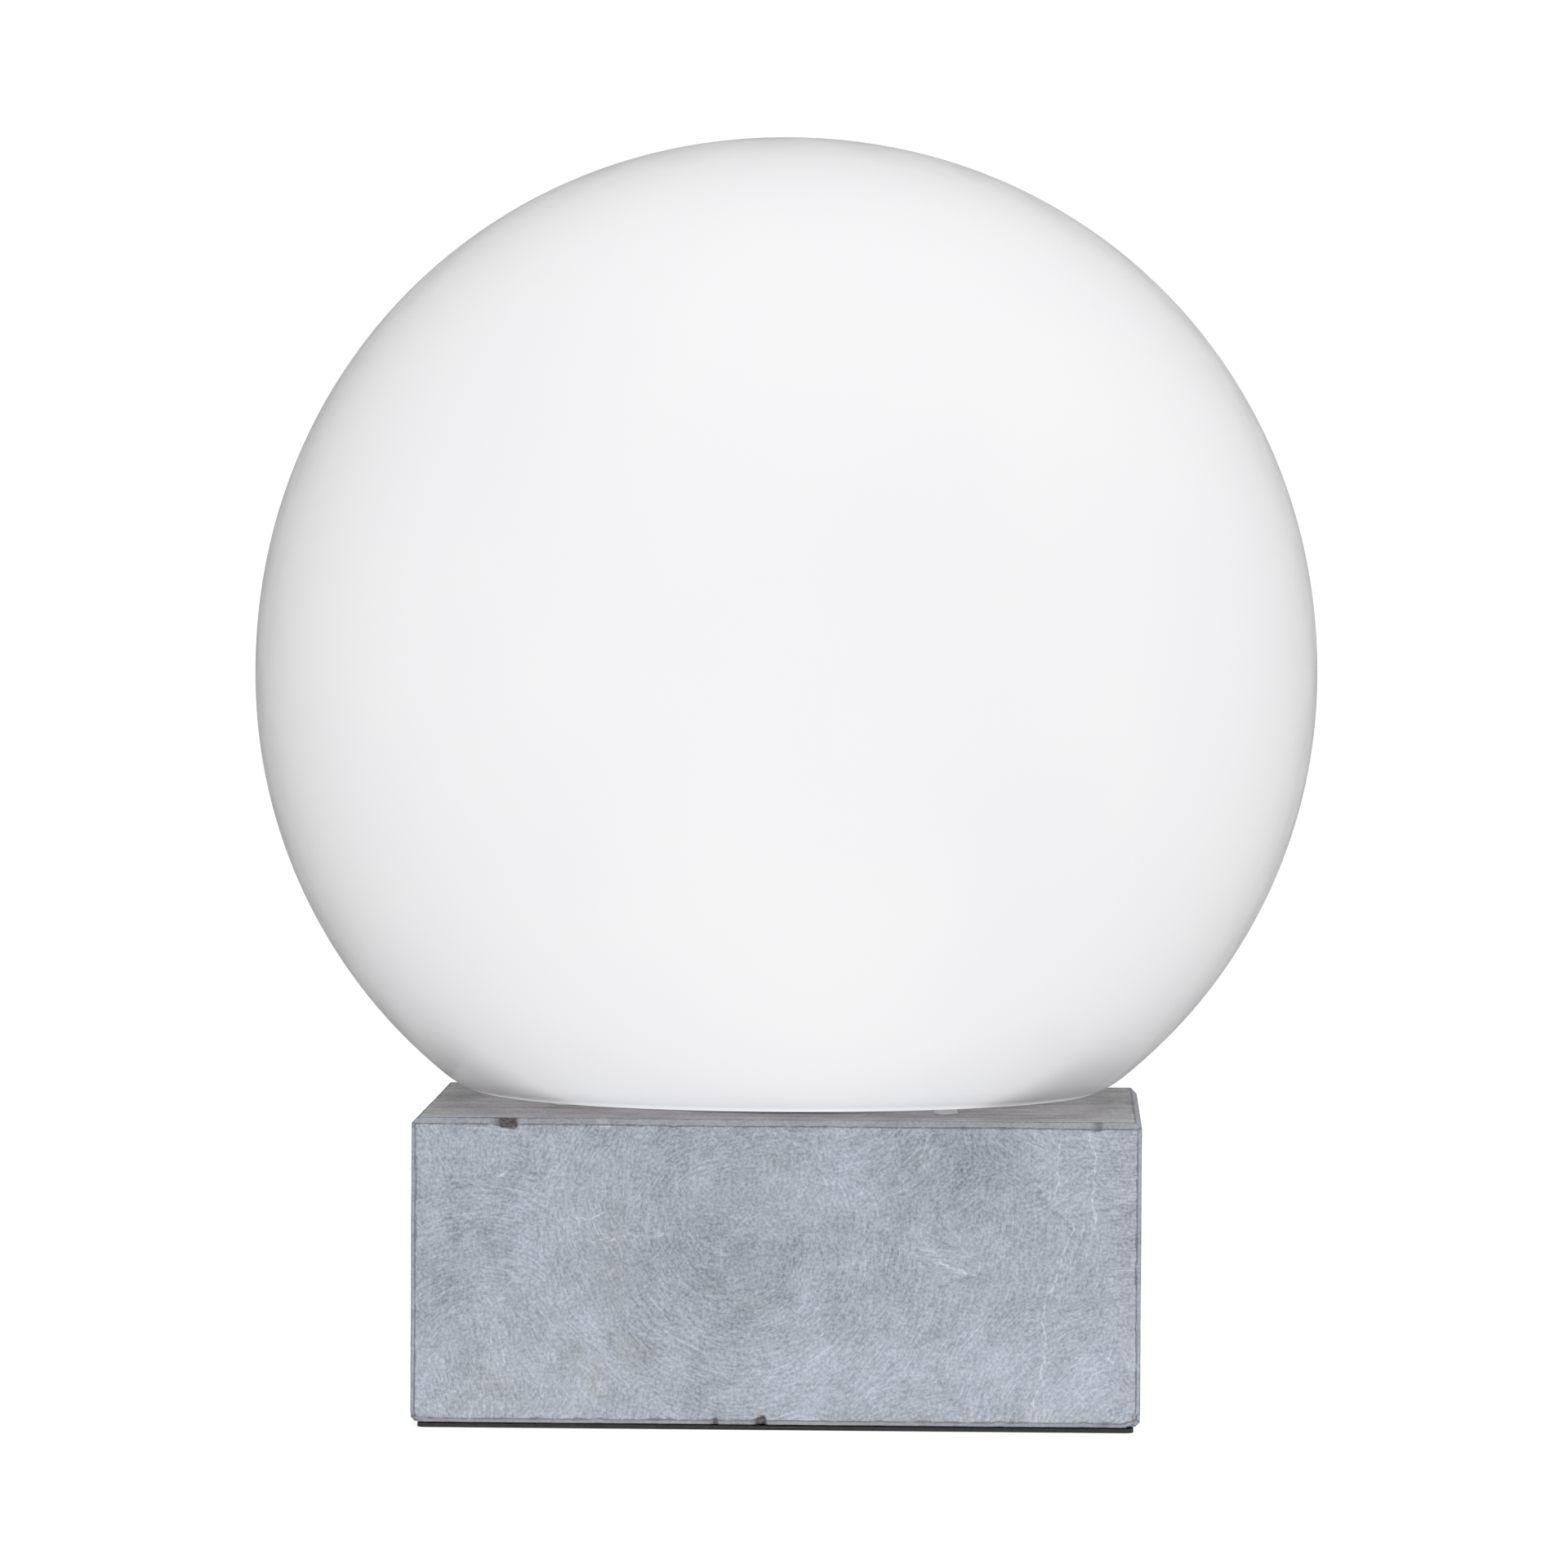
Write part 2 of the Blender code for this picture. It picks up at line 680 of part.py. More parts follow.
def build_base():
    stone = material("limestone", (0.40, 0.42, 0.45), 0.62)
    foam = material("black_pad", (0.02, 0.02, 0.02), 0.9)
    rubber = material("black_rubber", (0.025, 0.025, 0.025), 0.6)
    zinc = material("zinc_steel", (0.62, 0.62, 0.60), 0.35, 1.0)
    white_metal = material("white_metal", (0.85, 0.85, 0.84), 0.4)
    plastic = material("holder_plastic", (0.86, 0.86, 0.84), 0.45)
    ceramic = material("insert_ceramic", (0.80, 0.78, 0.73), 0.5)
    brass = material("brass", (0.72, 0.52, 0.24), 0.3, 1.0)
    silicone = material("clear_silicone", (0.9, 0.92, 0.92), 0.2, 0.0, 0.8)
    stone_block(stone)
    base_pad(foam)
    cord_bush(rubber)
    threaded_tube(zinc)
    tube_washer(zinc)
    lock_washer(zinc)
    hex_nut("tube_nut_lower", LOWER_NUT_BOTTOM, zinc)
    centring_disc(white_metal)
    hex_nut("tube_nut_upper", UPPER_NUT_BOTTOM, zinc)
    holder_cap(plastic)
    holder_grub_screw(zinc)
    holder_sleeve(plastic)
    holder_insert(ceramic)
    terminal_screw("terminal_screw_live", -1, brass)
    terminal_screw("terminal_screw_neutral", 1, brass)
    centre_contact(brass)
    side_contact(brass)
    screw_shell(brass)
    bumpers = 3
    first = math.radians(47)
    for i in range(bumpers):
        glass_bumper(f"glass_bumper_{i + 1}", first + math.tau * i / bumpers, silicone)


def build_bulb():
    nickel = material("nickel_cap", (0.70, 0.69, 0.66), 0.25, 1.0)
    black_glass = material("black_glass", (0.02, 0.02, 0.022), 0.15)
    tip_metal = material("tip_metal", (0.66, 0.62, 0.52), 0.35, 1.0)
    white_plastic = material("bulb_plastic", (0.88, 0.88, 0.87), 0.4)
    board_green = material("board_green", (0.05, 0.22, 0.10), 0.5)
    board_white = material("board_white", (0.85, 0.85, 0.82), 0.4)
    opal_plastic = material("opal_plastic", (0.92, 0.92, 0.91), 0.35)
    rise = joint_empty("bulb_rise_axis", TIP_BOTTOM)
    turn = joint_empty("bulb_turn_axis", CAP_BOTTOM)
    hang_on(rise, [bulb_tip_contact(tip_metal)])
    turning = [
        bulb_insulator(black_glass),
        bulb_cap(nickel),
        bulb_housing(white_plastic),
        bulb_driver_board(board_green),
        bulb_led_board(board_white),
        bulb_diffuser(opal_plastic),
    ]
    hang_on(turn, turning)


def build_shade():
    opal = material("opal_glass", (0.93, 0.93, 0.94), 0.35)
    lift = joint_empty("shade_lift_axis", BLOCK_TOP)
    hang_on(lift, [opal_globe(opal)])


clear_scene()
build_base()
build_bulb()
build_shade()
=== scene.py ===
import math
import random

import bmesh
import bpy
from mathutils import Matrix, Vector, noise


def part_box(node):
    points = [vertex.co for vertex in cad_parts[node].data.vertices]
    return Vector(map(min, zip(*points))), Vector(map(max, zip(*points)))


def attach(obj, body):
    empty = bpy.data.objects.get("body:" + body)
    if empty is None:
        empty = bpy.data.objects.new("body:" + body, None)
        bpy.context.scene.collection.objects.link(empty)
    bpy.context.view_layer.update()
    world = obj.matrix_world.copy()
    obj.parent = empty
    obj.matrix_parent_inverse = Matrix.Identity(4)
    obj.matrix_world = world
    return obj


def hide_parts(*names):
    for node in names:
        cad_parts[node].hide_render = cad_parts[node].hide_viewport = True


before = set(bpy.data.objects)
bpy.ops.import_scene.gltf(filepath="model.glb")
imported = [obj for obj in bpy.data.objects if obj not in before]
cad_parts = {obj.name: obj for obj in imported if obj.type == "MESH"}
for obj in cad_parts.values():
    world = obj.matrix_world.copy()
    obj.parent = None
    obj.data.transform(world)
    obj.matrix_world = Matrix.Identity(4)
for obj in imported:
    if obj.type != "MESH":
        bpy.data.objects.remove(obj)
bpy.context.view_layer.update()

MM = 0.001
FINE = 1e-7

# Camera: a long lens, a little above the lamp's middle and slightly to the right of its front.
CAMERA_DISTANCE = 2.119
CAMERA_HEIGHT = 0.2216
CAMERA_ASIDE = -0.0004
CAMERA_TURN = 0.0284
CAMERA_PITCH = 0.0353
CAMERA_ROLL = 0.006
CAMERA_LENS = 206.2
SENSOR = 36.0

# Studio light: broad soft lobes, each a direction, a strength and how narrow it is.
LIGHT_LOBES = (
    ((0, -1, 0), 0.6, 8),
    ((0, 0, 1), 1.07, 4),
    ((1, 0, 0), 1.01, 4),
    ((-1, 0, 0), 0.52, 8),
    ((0, -1, -1), 0.54, 8),
    ((-1, -1, 0), 0.57, 4),
    ((0, 0, -1), 0.88, 8),
)
BACKDROP = 1.05
FLOOR_RADIUS = 1.0

# Glass globe.
GLASS = 3.6 * MM
GLOBE_UPPER_HEIGHT = 126.1 * MM
GLOBE_LOWER_HEIGHT = 122.6 * MM
GLOBE_UPPER_POWER = 2.04
GLOBE_LOWER_POWER = 2.02
GLOBE_FOOT_ANGLE = math.radians(50.1)
MOUTH_RADIUS = 38.5 * MM
LEVEL_RADIUS = 46 * MM
RIM_RADIUS = 70.6 * MM
UNDERSIDE_GAP = 1.0 * MM
UNDERSIDE_RISE = 1.7 * MM
HEEL = 4.5 * MM
# Strength of the painted glow on the globe's underside.
UNDERSIDE_PAINTED_GLOW = 0.3

# Stone block.
ARRIS = 0.95 * MM
TOP_ARRIS = 1.4 * MM
EDGE_REACH = 6 * MM
BLOCK_GRID = 1.1 * MM
CHIP_GRID = 0.35 * MM
STROKE_WIDTH = 0.6 * MM
STROKE_LENGTH = 2.8 * MM
# How much is cut off the block's corners, in millimetres; a corner is named by its signs along X, Y and Z.
PLAIN_CORNER = 1.9
CLIPPED_CORNERS = {(-1, -1, -1): 3.4, (1, -1, -1): 4.6, (1, 1, 1): 3.6, (-1, 1, 1): 2.4}
# Rows of the block's mesh near each edge, in millimetres from it.
EDGE_ROWS = (0.0, 0.22, 0.45, 0.7, 0.95, 1.2, 1.5, 1.9, 2.5, 3.3)

# Colours of the stone and its marks.
SIDE_COLOUR = (0.372, 0.405, 0.462)
TOP_COLOUR = (0.445, 0.438, 0.445)
WARM_COLOUR = (0.40, 0.385, 0.37)
SAWN_COLOUR = (0.13, 0.125, 0.125)
STAIN_COLOUR = (0.29, 0.265, 0.245)
CRACK_COLOUR = (0.16, 0.17, 0.20)
CALCITE_COLOUR = (0.80, 0.81, 0.83)
SHELL_COLOUR = (0.82, 0.83, 0.85)
ARRIS_COLOUR = (0.335, 0.342, 0.358)
# Painted shade: the dark line down each side of an arris.
ARRIS_SHADE_COLOUR = (0.14, 0.135, 0.14)
# Painted shade inside the chips.
CHIP_SHADE_COLOUR = (0.075, 0.062, 0.058)

# Screw thread of bulb and socket.
EDISON_PITCH = 3.629 * MM
EDISON_DEPTH = 1.0 * MM


# Frame lookups


def turned(node):
    """Lowest height, highest height and outer radius of a node that is turned round Z."""
    low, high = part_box(node)
    return low.z, high.z, high.x


# Meshes


def finished(name, bm, body, material, nodes, sharp=40):
    """Makes the piece, puts it on its body and lets it stand for its CAD nodes."""
    bmesh.ops.remove_doubles(bm, verts=bm.verts, dist=FINE)
    bmesh.ops.recalc_face_normals(bm, faces=bm.faces)
    mesh = bpy.data.meshes.new(name)
    bm.to_mesh(mesh)
    bm.free()
    mesh.materials.append(material)
    mesh.shade_smooth()
    if sharp:
        mesh.set_sharp_from_angle(angle=math.radians(sharp))
    piece = bpy.data.objects.new(name, mesh)
    bpy.context.scene.collection.objects.link(piece)
    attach(piece, body)
    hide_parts(*nodes)
    return piece


def lathe(profile, segments=96, closed=True):
    """A solid turned round Z from its (radius, height) outline, with one vertex where it meets the axis."""
    bm = bmesh.new()
    rings = []
    for radius, height in profile:
        if radius < FINE:
            rings.append([bm.verts.new((0, 0, height))] * segments)
            continue
        angles = (math.tau * i / segments for i in range(segments))
        rings.append([bm.verts.new((radius * math.cos(a), radius * math.sin(a), height)) for a in angles])
    pairs = list(zip(rings, rings[1:]))
    if closed:
        pairs.append((rings[-1], rings[0]))
    for upper, lower in pairs:
        for i in range(segments):
            j = (i + 1) % segments
            corners = list(dict.fromkeys((upper[i], lower[i], lower[j], upper[j])))
            if len(corners) > 2:
                bm.faces.new(corners)
    return bm


def curve_corner(start, corner, end, steps):
    """Points that turn a corner smoothly, from just after start to end."""
    points = []
    for i in range(1, steps + 1):
        t = i / steps
        blend = ((1 - t) ** 2, 2 * t * (1 - t), t * t)
        points.append(tuple(sum(w * p[k] for w, p in zip(blend, (start, corner, end))) for k in (0, 1)))
    return points


def eased(profile, radius, steps=4, closed=True):
    """The outline with each corner off the axis rounded."""
    points = [Vector(p) for p in profile]
    count = len(points)
    made = []
    for i, here in enumerate(points):
        at_end = not closed and i in (0, count - 1)
        if at_end or here.x < FINE:
            made.append(tuple(here))
            continue
        back = points[i - 1] - here
        on = points[(i + 1) % count] - here
        reach = min(radius, 0.45 * back.length, 0.45 * on.length)
        start = here + back.normalized() * reach
        end = here + on.normalized() * reach
        made.append(tuple(start))
        made += curve_corner(start, here, end, steps)
    return made


def filled(profile, step):
    """The outline with points added so that none are further apart than step."""
    made = []
    for here, after in zip(profile, profile[1:]):
        a, b = Vector(here), Vector(after)
        count = max(1, math.ceil((b - a).length / step))
        made += [tuple(a.lerp(b, i / count)) for i in range(count)]
    return made + [profile[-1]]


def each_turned(bm, change):
    """Moves each vertex out by change(radius, angle, height)."""
    for vert in bm.verts:
        radius = math.hypot(vert.co.x, vert.co.y)
        if radius < FINE:
            continue
        shift = change(radius, math.atan2(vert.co.y, vert.co.x), vert.co.z)
        vert.co.x *= (radius + shift) / radius
        vert.co.y *= (radius + shift) / radius
    return bm


def laid_back(bm, height):
    """Turns a solid from the Z axis to a line along Y at that height."""
    turn = Matrix.Translation((0, 0, height)) @ Matrix.Rotation(-math.pi / 2, 4, "X")
    bmesh.ops.transform(bm, matrix=turn, verts=bm.verts)
    return bm


def cut_with(piece, bm):
    """Cuts the solid in bm out of the piece's mesh."""
    bmesh.ops.recalc_face_normals(bm, faces=bm.faces)
    mesh = bpy.data.meshes.new("cutter")
    bm.to_mesh(mesh)
    bm.free()
    cutter = bpy.data.objects.new("cutter", mesh)
    bpy.context.scene.collection.objects.link(cutter)
    modifier = piece.modifiers.new("cut", "BOOLEAN")
    modifier.operation = "DIFFERENCE"
    modifier.object = cutter
    bpy.context.view_layer.update()
    cut = bpy.data.meshes.new_from_object(piece.evaluated_get(bpy.context.evaluated_depsgraph_get()))
    piece.modifiers.clear()
    piece.data = cut
    bpy.data.objects.remove(cutter)


def smoothstep(value, low, high):
    """Goes smoothly from 0 to 1 while value goes from low to high."""
    t = min(1.0, max(0.0, (value - low) / (high - low)))
    return t * t * (3 - 2 * t)


# Shader nodes


class Finish:
    """A material being written: each method adds one node and returns its output."""

    def __init__(self, name, roughness=0.5, metallic=0.0):
        self.material = bpy.data.materials.new(name)
        self.material.use_nodes = True
        self.tree = self.material.node_tree
        self.shader = self.tree.nodes["Principled BSDF"]
        self.set(roughness=roughness, metallic=metallic)
        self.coords = self.node("ShaderNodeTexCoord")

    def set(self, **values):
        """Sets or links the shader's own sockets: base_color, roughness, coat_weight and so on."""
        for name, value in values.items():
            socket = self.shader.inputs[name.replace("_", " ").title().replace("Ior", "IOR")]
            self.put(socket, value)

    def put(self, socket, value):
        if isinstance(value, bpy.types.NodeSocket):
            self.tree.links.new(value, socket)
        elif socket.type == "RGBA" and len(value) == 3:
            socket.default_value = (*value, 1)
        else:
            socket.default_value = value

    def node(self, kind, inputs=(), **settings):
        node = self.tree.nodes.new(kind)
        for name, value in settings.items():
            setattr(node, name, value)
        for name, value in dict(inputs).items():
            self.put(node.inputs[name], value)
        return node

    def place(self, scale=(1, 1, 1), shift=(0, 0, 0)):
        """Object coordinates in metres, stretched and shifted."""
        inputs = {"Vector": self.coords.outputs["Object"], "Scale": scale, "Location": shift}
        return self.node("ShaderNodeMapping", inputs).outputs["Vector"]

    def noise(self, size, detail=3.0, where=None, rough=0.55, warp=0.0):
        """Noise whose blotches are about size metres across."""
        inputs = {
            "Vector": self.place() if where is None else where,
            "Scale": 1 / size,
            "Detail": detail,
            "Roughness": rough,
            "Distortion": warp,
        }
        return self.node("ShaderNodeTexNoise", inputs).outputs["Fac"]

    def math(self, operation, a, b=0.0, clamp=False):
        return self.node("ShaderNodeMath", {0: a, 1: b}, operation=operation, use_clamp=clamp).outputs[0]

    def vector(self, operation, a, b=(0, 0, 0), output=0):
        return self.node("ShaderNodeVectorMath", {0: a, 1: b}, operation=operation).outputs[output]

    def ramp(self, value, low, high, start=0.0, end=1.0):
        """Goes smoothly from start to end while value goes from low to high."""
        inputs = {"Value": value, "From Min": low, "From Max": high, "To Min": start, "To Max": end}
        return self.node("ShaderNodeMapRange", inputs, interpolation_type="SMOOTHSTEP").outputs["Result"]

    def mix(self, share, a, b):
        """One colour turned into another."""
        node = self.node("ShaderNodeMix", data_type="RGBA")
        self.put(node.inputs[0], share)
        self.put(node.inputs[6], a)
        self.put(node.inputs[7], b)
        return node.outputs[2]

    def scaled(self, vector, factor):
        return self.node("ShaderNodeVectorMath", {0: vector, "Scale": factor}, operation="SCALE").outputs[0]

    def shaded(self, colour, factor):
        """A colour made lighter or darker."""
        return self.node("ShaderNodeHueSaturation", {"Color": colour, "Value": factor}).outputs[0]

    def split(self, vector):
        return self.node("ShaderNodeSeparateXYZ", {0: vector}).outputs

    def split_colour(self, colour):
        return self.node("ShaderNodeSeparateColor", {0: colour}).outputs

    def joined(self, x, y, z=0.0):
        return self.node("ShaderNodeCombineXYZ", {0: x, 1: y, 2: z}).outputs[0]

    def blend(self, share, a, b):
        """One number turned into another."""
        return self.node("ShaderNodeMix", {0: share, 2: a, 3: b}, data_type="FLOAT").outputs[0]

    def wandering(self, size, reach):
        """Object coordinates seen from the front, displaced a little so that a straight line wanders."""
        x, _, z = self.split(self.coords.outputs["Object"])
        moved = []
        for start, shift in ((x, 0.0), (z, 0.5)):
            blotches = self.noise(size, 2.0, self.place(shift=(shift, 0, 0)))
            offset = self.ramp(blotches, 0.2, 0.8, -reach / 2, reach / 2)
            moved.append(self.math("ADD", start, offset))
        return self.joined(moved[0], 0.0, moved[1])

    def painted(self, name):
        """A number that the piece's mesh carries at each vertex."""
        return self.node("ShaderNodeAttribute", attribute_name=name).outputs["Fac"]

    def bump(self, height, depth, strength=1.0):
        """Relief of that depth in metres."""
        inputs = {"Height": height, "Distance": depth, "Strength": strength}
        node = self.node("ShaderNodeBump", inputs)
        last = self.shader.inputs["Normal"].links
        if last:
            self.tree.links.new(last[0].from_socket, node.inputs["Normal"])
        self.tree.links.new(node.outputs["Normal"], self.shader.inputs["Normal"])


# Limestone


def round_the_sides(m):
    """Flat coordinates for the block's upright faces: along the face, and up it."""
    x, y, z = m.split(m.coords.outputs["Object"])
    return m.joined(m.math("ADD", x, y), z)


def ground_patch(m, face, cell, shift):
    """Marks of a disc grinder round scattered centres: short strokes, -1 to 1, and long fine scratches."""
    where = m.vector("ADD", face, (shift, 0.7 * shift, 0))
    cells = m.node("ShaderNodeTexVoronoi", {"Vector": where, "Scale": 1 / cell}, voronoi_dimensions="2D")
    away = m.split(m.vector("SUBTRACT", where, cells.outputs["Position"]))
    radius = m.math("MULTIPLY", cells.outputs["Distance"], cell)
    around = m.math("MULTIPLY", m.math("ARCTAN2", away[1], away[0]), radius)
    chosen = m.math("MULTIPLY", m.split_colour(cells.outputs["Color"])[0], 50.0)

    def marks(width, length, detail):
        across = m.math("MULTIPLY", radius, 1 / width)
        along = m.math("MULTIPLY", around, 1 / length)
        return m.noise(1.0, detail, m.joined(across, along, chosen), 0.65)

    strokes = m.ramp(marks(STROKE_WIDTH, STROKE_LENGTH, 3.0), 0.28, 0.72, -1.0, 1.0)
    strokes = m.math("MULTIPLY", strokes, m.ramp(radius, 4 * MM, 14 * MM))
    scratches = m.ramp(marks(0.8 * STROKE_WIDTH, 4 * STROKE_LENGTH, 1.0), 0.60, 0.76)
    return strokes, scratches


def ground_faces(m):
    """Overlapping patches of grinding marks, all over the upright faces."""
    face = round_the_sides(m)
    strokes, scratches = ground_patch(m, face, 110 * MM, 0.0)
    for cell, shift in ((85 * MM, 0.31), (75 * MM, 0.73)):
        over = m.ramp(m.noise(22 * MM, 2.0, m.place(shift=(shift, shift, 0))), 0.46, 0.54)
        patch = ground_patch(m, face, cell, shift)
        strokes = m.blend(over, strokes, patch[0])
        scratches = m.blend(over, scratches, patch[1])
    return strokes, scratches


def distance_to_line(m, where, start, end):
    """Distance in metres from the straight line between two points of the front face."""
    a, b = Vector(start), Vector(end)
    line = b - a
    from_start = m.vector("SUBTRACT", where, tuple(a))
    dot = m.vector("DOT_PRODUCT", from_start, tuple(line / line.length_squared), output="Value")
    along = m.scaled(tuple(line), m.math("ADD", dot, 0.0, clamp=True))
    return m.vector("LENGTH", m.vector("SUBTRACT", from_start, along), output="Value")


def veins(m, where, runs):
    """Thin bands along runs of points on the front face, full in their middle and gone at their edge.

    Each run is its width and its points, all in millimetres: across from the block's middle, and up from
    its foot.
    """
    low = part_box("stone_block")[0]
    most = None
    for width, *points in runs:
        places = [(x * MM, 0.0, low.z + z * MM) for x, z in points]
        nearest = None
        for start, end in zip(places, places[1:]):
            distance = distance_to_line(m, where, start, end)
            nearest = distance if nearest is None else m.math("MINIMUM", nearest, distance)
        band = m.ramp(nearest, width * MM / 2, width * MM * 0.1)
        most = band if most is None else m.math("MAXIMUM", most, band)
    return most


CALCITE_VEINS = (
    (0.7, (65.6, 70), (64.2, 52)),
    (0.7, (69.0, 48), (62.5, 29), (59.8, 1)),
    (0.8, (72.8, 69), (72.9, 46)),
    (0.5, (72.6, 60), (69.0, 53)),
    (0.8, (-49.5, 46.5), (-39.5, 48.5)),
    (0.6, (-43, 42.5), (-25, 43.8)),
    (0.9, (34.8, 67.5), (33.2, 62), (34.6, 59.5)),
    (1.1, (36.5, 38), (46.5, 35.0)),
    (1.2, (-65.5, 56.5), (-61, 58.5)),
    (1.8, (-40.5, 68.8), (-37.2, 68.9)),
)
DARK_CRACKS = (
    (0.7, (59.5, 43.5), (67, 48.5), (82.7, 51.5)),
    (1.6, (60, 54), (70, 43)),
    (0.8, (21, 35), (27, 37)),
    (2.6, (38, 33), (47.5, 34)),
)
BROWN_STAINS = (
    (8, (-37, 47), (-35.8, 29)),
    (11, (-44.5, 14), (-41, 7)),
    (8, (-36, 20), (-33, 17)),
)


def mottling(m, top, side):
    """How much lighter or darker than usual each place is, and the marks left by grinding and sawing."""
    low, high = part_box("stone_block")
    x, _, z = m.split(m.coords.outputs["Object"])
    foot = m.ramp(z, low.z + 34 * MM, low.z + 8 * MM, 0.0, 0.15)
    right = m.ramp(x, 0.0, high.x, 0.0, 0.06)
    strokes, scratches = ground_faces(m)
    strokes = m.math("MULTIPLY", strokes, side)
    scratches = m.math("MULTIPLY", scratches, side)
    sawn = m.noise(1.0, 5.0, m.place(scale=(22, 900, 22)), 0.6)
    streaks = m.math("MULTIPLY", m.ramp(sawn, 0.3, 0.7, -1.0, 1.0), top)
    broad = m.ramp(m.noise(38 * MM, 3.0), 0.3, 0.7, -1.0, 1.0)
    cloudy = m.ramp(m.noise(8 * MM, 6.0, rough=0.7), 0.25, 0.75, -1.0, 1.0)
    grain = m.ramp(m.noise(0.8 * MM, 3.0, rough=0.8), 0.3, 0.7, -1.0, 1.0)
    paler = m.math("MULTIPLY", m.math("ADD", foot, right), side)
    parts = (
        (broad, 0.09),
        (cloudy, 0.15),
        (grain, 0.27),
        (paler, 1.0),
        (strokes, 0.17),
        (scratches, 0.22),
        (streaks, 0.22),
    )
    total = 0.95
    for part, strength in parts:
        total = m.math("ADD", m.math("MULTIPLY", part, strength), total)
    return total, scratches, streaks


def front_marks(m, colour):
    """Calcite veins, hairline cracks and brown stains, which fade out behind the front face."""
    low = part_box("stone_block")[0]
    front = m.ramp(m.split(m.coords.outputs["Object"])[1], low.y + 26 * MM, low.y + 8 * MM)
    flaky = m.ramp(m.noise(2.0 * MM, 4.0, rough=0.7), 0.36, 0.60)

    stains = m.math("MULTIPLY", veins(m, m.wandering(9 * MM, 6 * MM), BROWN_STAINS), front)
    patchy = m.ramp(m.noise(1.8 * MM, 5.0, rough=0.75), 0.40, 0.66)
    colour = m.mix(m.math("MULTIPLY", m.math("MULTIPLY", stains, patchy), 0.42), colour, STAIN_COLOUR)
    where = m.wandering(5 * MM, 2.4 * MM)
    cracks = m.math("MULTIPLY", m.math("MULTIPLY", veins(m, where, DARK_CRACKS), front), flaky)
    colour = m.mix(m.math("MULTIPLY", cracks, 0.45), colour, CRACK_COLOUR)
    light = m.math("MULTIPLY", m.math("MULTIPLY", veins(m, where, CALCITE_VEINS), front), flaky)
    return m.mix(m.math("MULTIPLY", light, 0.50), colour, CALCITE_COLOUR)


def specks(m, colour):
    """Small pale specks of shell, scattered everywhere."""
    cells = m.node("ShaderNodeTexVoronoi", {"Vector": m.coords.outputs["Object"], "Scale": 1 / (7 * MM)})
    chosen = m.split_colour(cells.outputs["Color"])[1]
    dots = m.math("MULTIPLY", m.ramp(cells.outputs["Distance"], 0.09, 0.04), m.ramp(chosen, 0.60, 0.7))
    return m.mix(m.math("MULTIPLY", dots, 0.55), colour, SHELL_COLOUR)


def arrises_with_painted_shade(m, colour):
    """Dull arrises, with painted shade as a dark, broken line down each side and painted shade in the chips:
    the mesh says where they are.
    """
    from_edge = m.painted("from_edge")
    on_arris = m.ramp(from_edge, 0.05 * MM, -0.15 * MM)
    colour = m.mix(m.math("MULTIPLY", on_arris, 0.45), colour, ARRIS_COLOUR)
    wide = m.ramp(m.noise(5 * MM, 4.0, rough=0.65), 0.50, 0.68, 1.0, 2.6)
    reach = m.math("MULTIPLY", m.math("ABSOLUTE", from_edge), m.math("DIVIDE", 1.0, wide))
    # Painted shade: a thin dark line along each side of every arris, broken up by noise.
    line = m.ramp(reach, 0.36 * MM, 0.10 * MM)
    broken = m.ramp(m.noise(2.6 * MM, 3.0, m.place(shift=(1, 2, 3))), 0.30, 0.55, 0.45, 1.0)
    colour = m.mix(m.math("MULTIPLY", m.math("MULTIPLY", line, broken), 0.8), colour, ARRIS_SHADE_COLOUR)
    # Painted shade: the chips are darkened wherever the mesh says they are cut in.
    ragged = m.ramp(m.noise(0.9 * MM, 4.0), 0.3, 0.6, 0.7, 1.0)
    return m.mix(m.math("MULTIPLY", m.painted("chip"), ragged), colour, CHIP_SHADE_COLOUR)


def limestone():
    """Honed blue-grey limestone: ground sides with veins and stains, a sawn grey top, worn arrises with
    painted shade beside them and in their chips.
    """
    m = Finish("limestone", roughness=0.6)
    upright = m.math("ABSOLUTE", m.split(m.coords.outputs["Normal"])[2])
    top = m.ramp(upright, 0.75, 0.95)
    side = m.ramp(upright, 0.5, 0.2)
    total, scratches, streaks = mottling(m, top, side)
    colour = m.mix(top, SIDE_COLOUR, TOP_COLOUR)
    warm = m.ramp(m.noise(26 * MM, 4.0, m.place(shift=(0.4, 0.2, 0.1))), 0.56, 0.78)
    colour = m.mix(m.math("MULTIPLY", warm, 0.3), colour, WARM_COLOUR)
    colour = m.shaded(colour, total)
    dark_streak = m.ramp(m.noise(1.0, 3.0, m.place(scale=(28, 240, 28), shift=(3, 1, 0))), 0.60, 0.72)
    colour = m.mix(m.math("MULTIPLY", m.math("MULTIPLY", dark_streak, top), 0.4), colour, SAWN_COLOUR)
    colour = arrises_with_painted_shade(m, specks(m, front_marks(m, colour)))
    m.set(base_color=colour, specular_ior_level=0.35)
    rough = m.ramp(m.noise(5 * MM, 4.0), 0.3, 0.7, 0.54, 0.68)
    m.set(roughness=m.math("ADD", rough, m.math("MULTIPLY", scratches, 0.12)))
    pits = m.noise(1.3 * MM, 5.0, rough=0.7)
    m.bump(m.math("ADD", pits, m.math("MULTIPLY", streaks, 0.4)), 0.09 * MM, 0.5)
    return m.material


def grid_lines(half, spacing, near, fine=()):
    """Places across a face: close together near its edges, even between them, and finer at chips."""
    inner = half - near[-1]
    count = max(2, round(2 * inner / spacing))
    places = [-inner + 2 * inner * i / count for i in range(count + 1)]
    for low, high in fine:
        steps = round((high - low) / CHIP_GRID)
        places = [x for x in places if not low - CHIP_GRID < x < high + CHIP_GRID]
        places += [low + (high - low) * i / steps for i in range(steps + 1)]
    edges = [half - d for d in near[:-1]]
    return sorted(places + edges + [-x for x in edges])


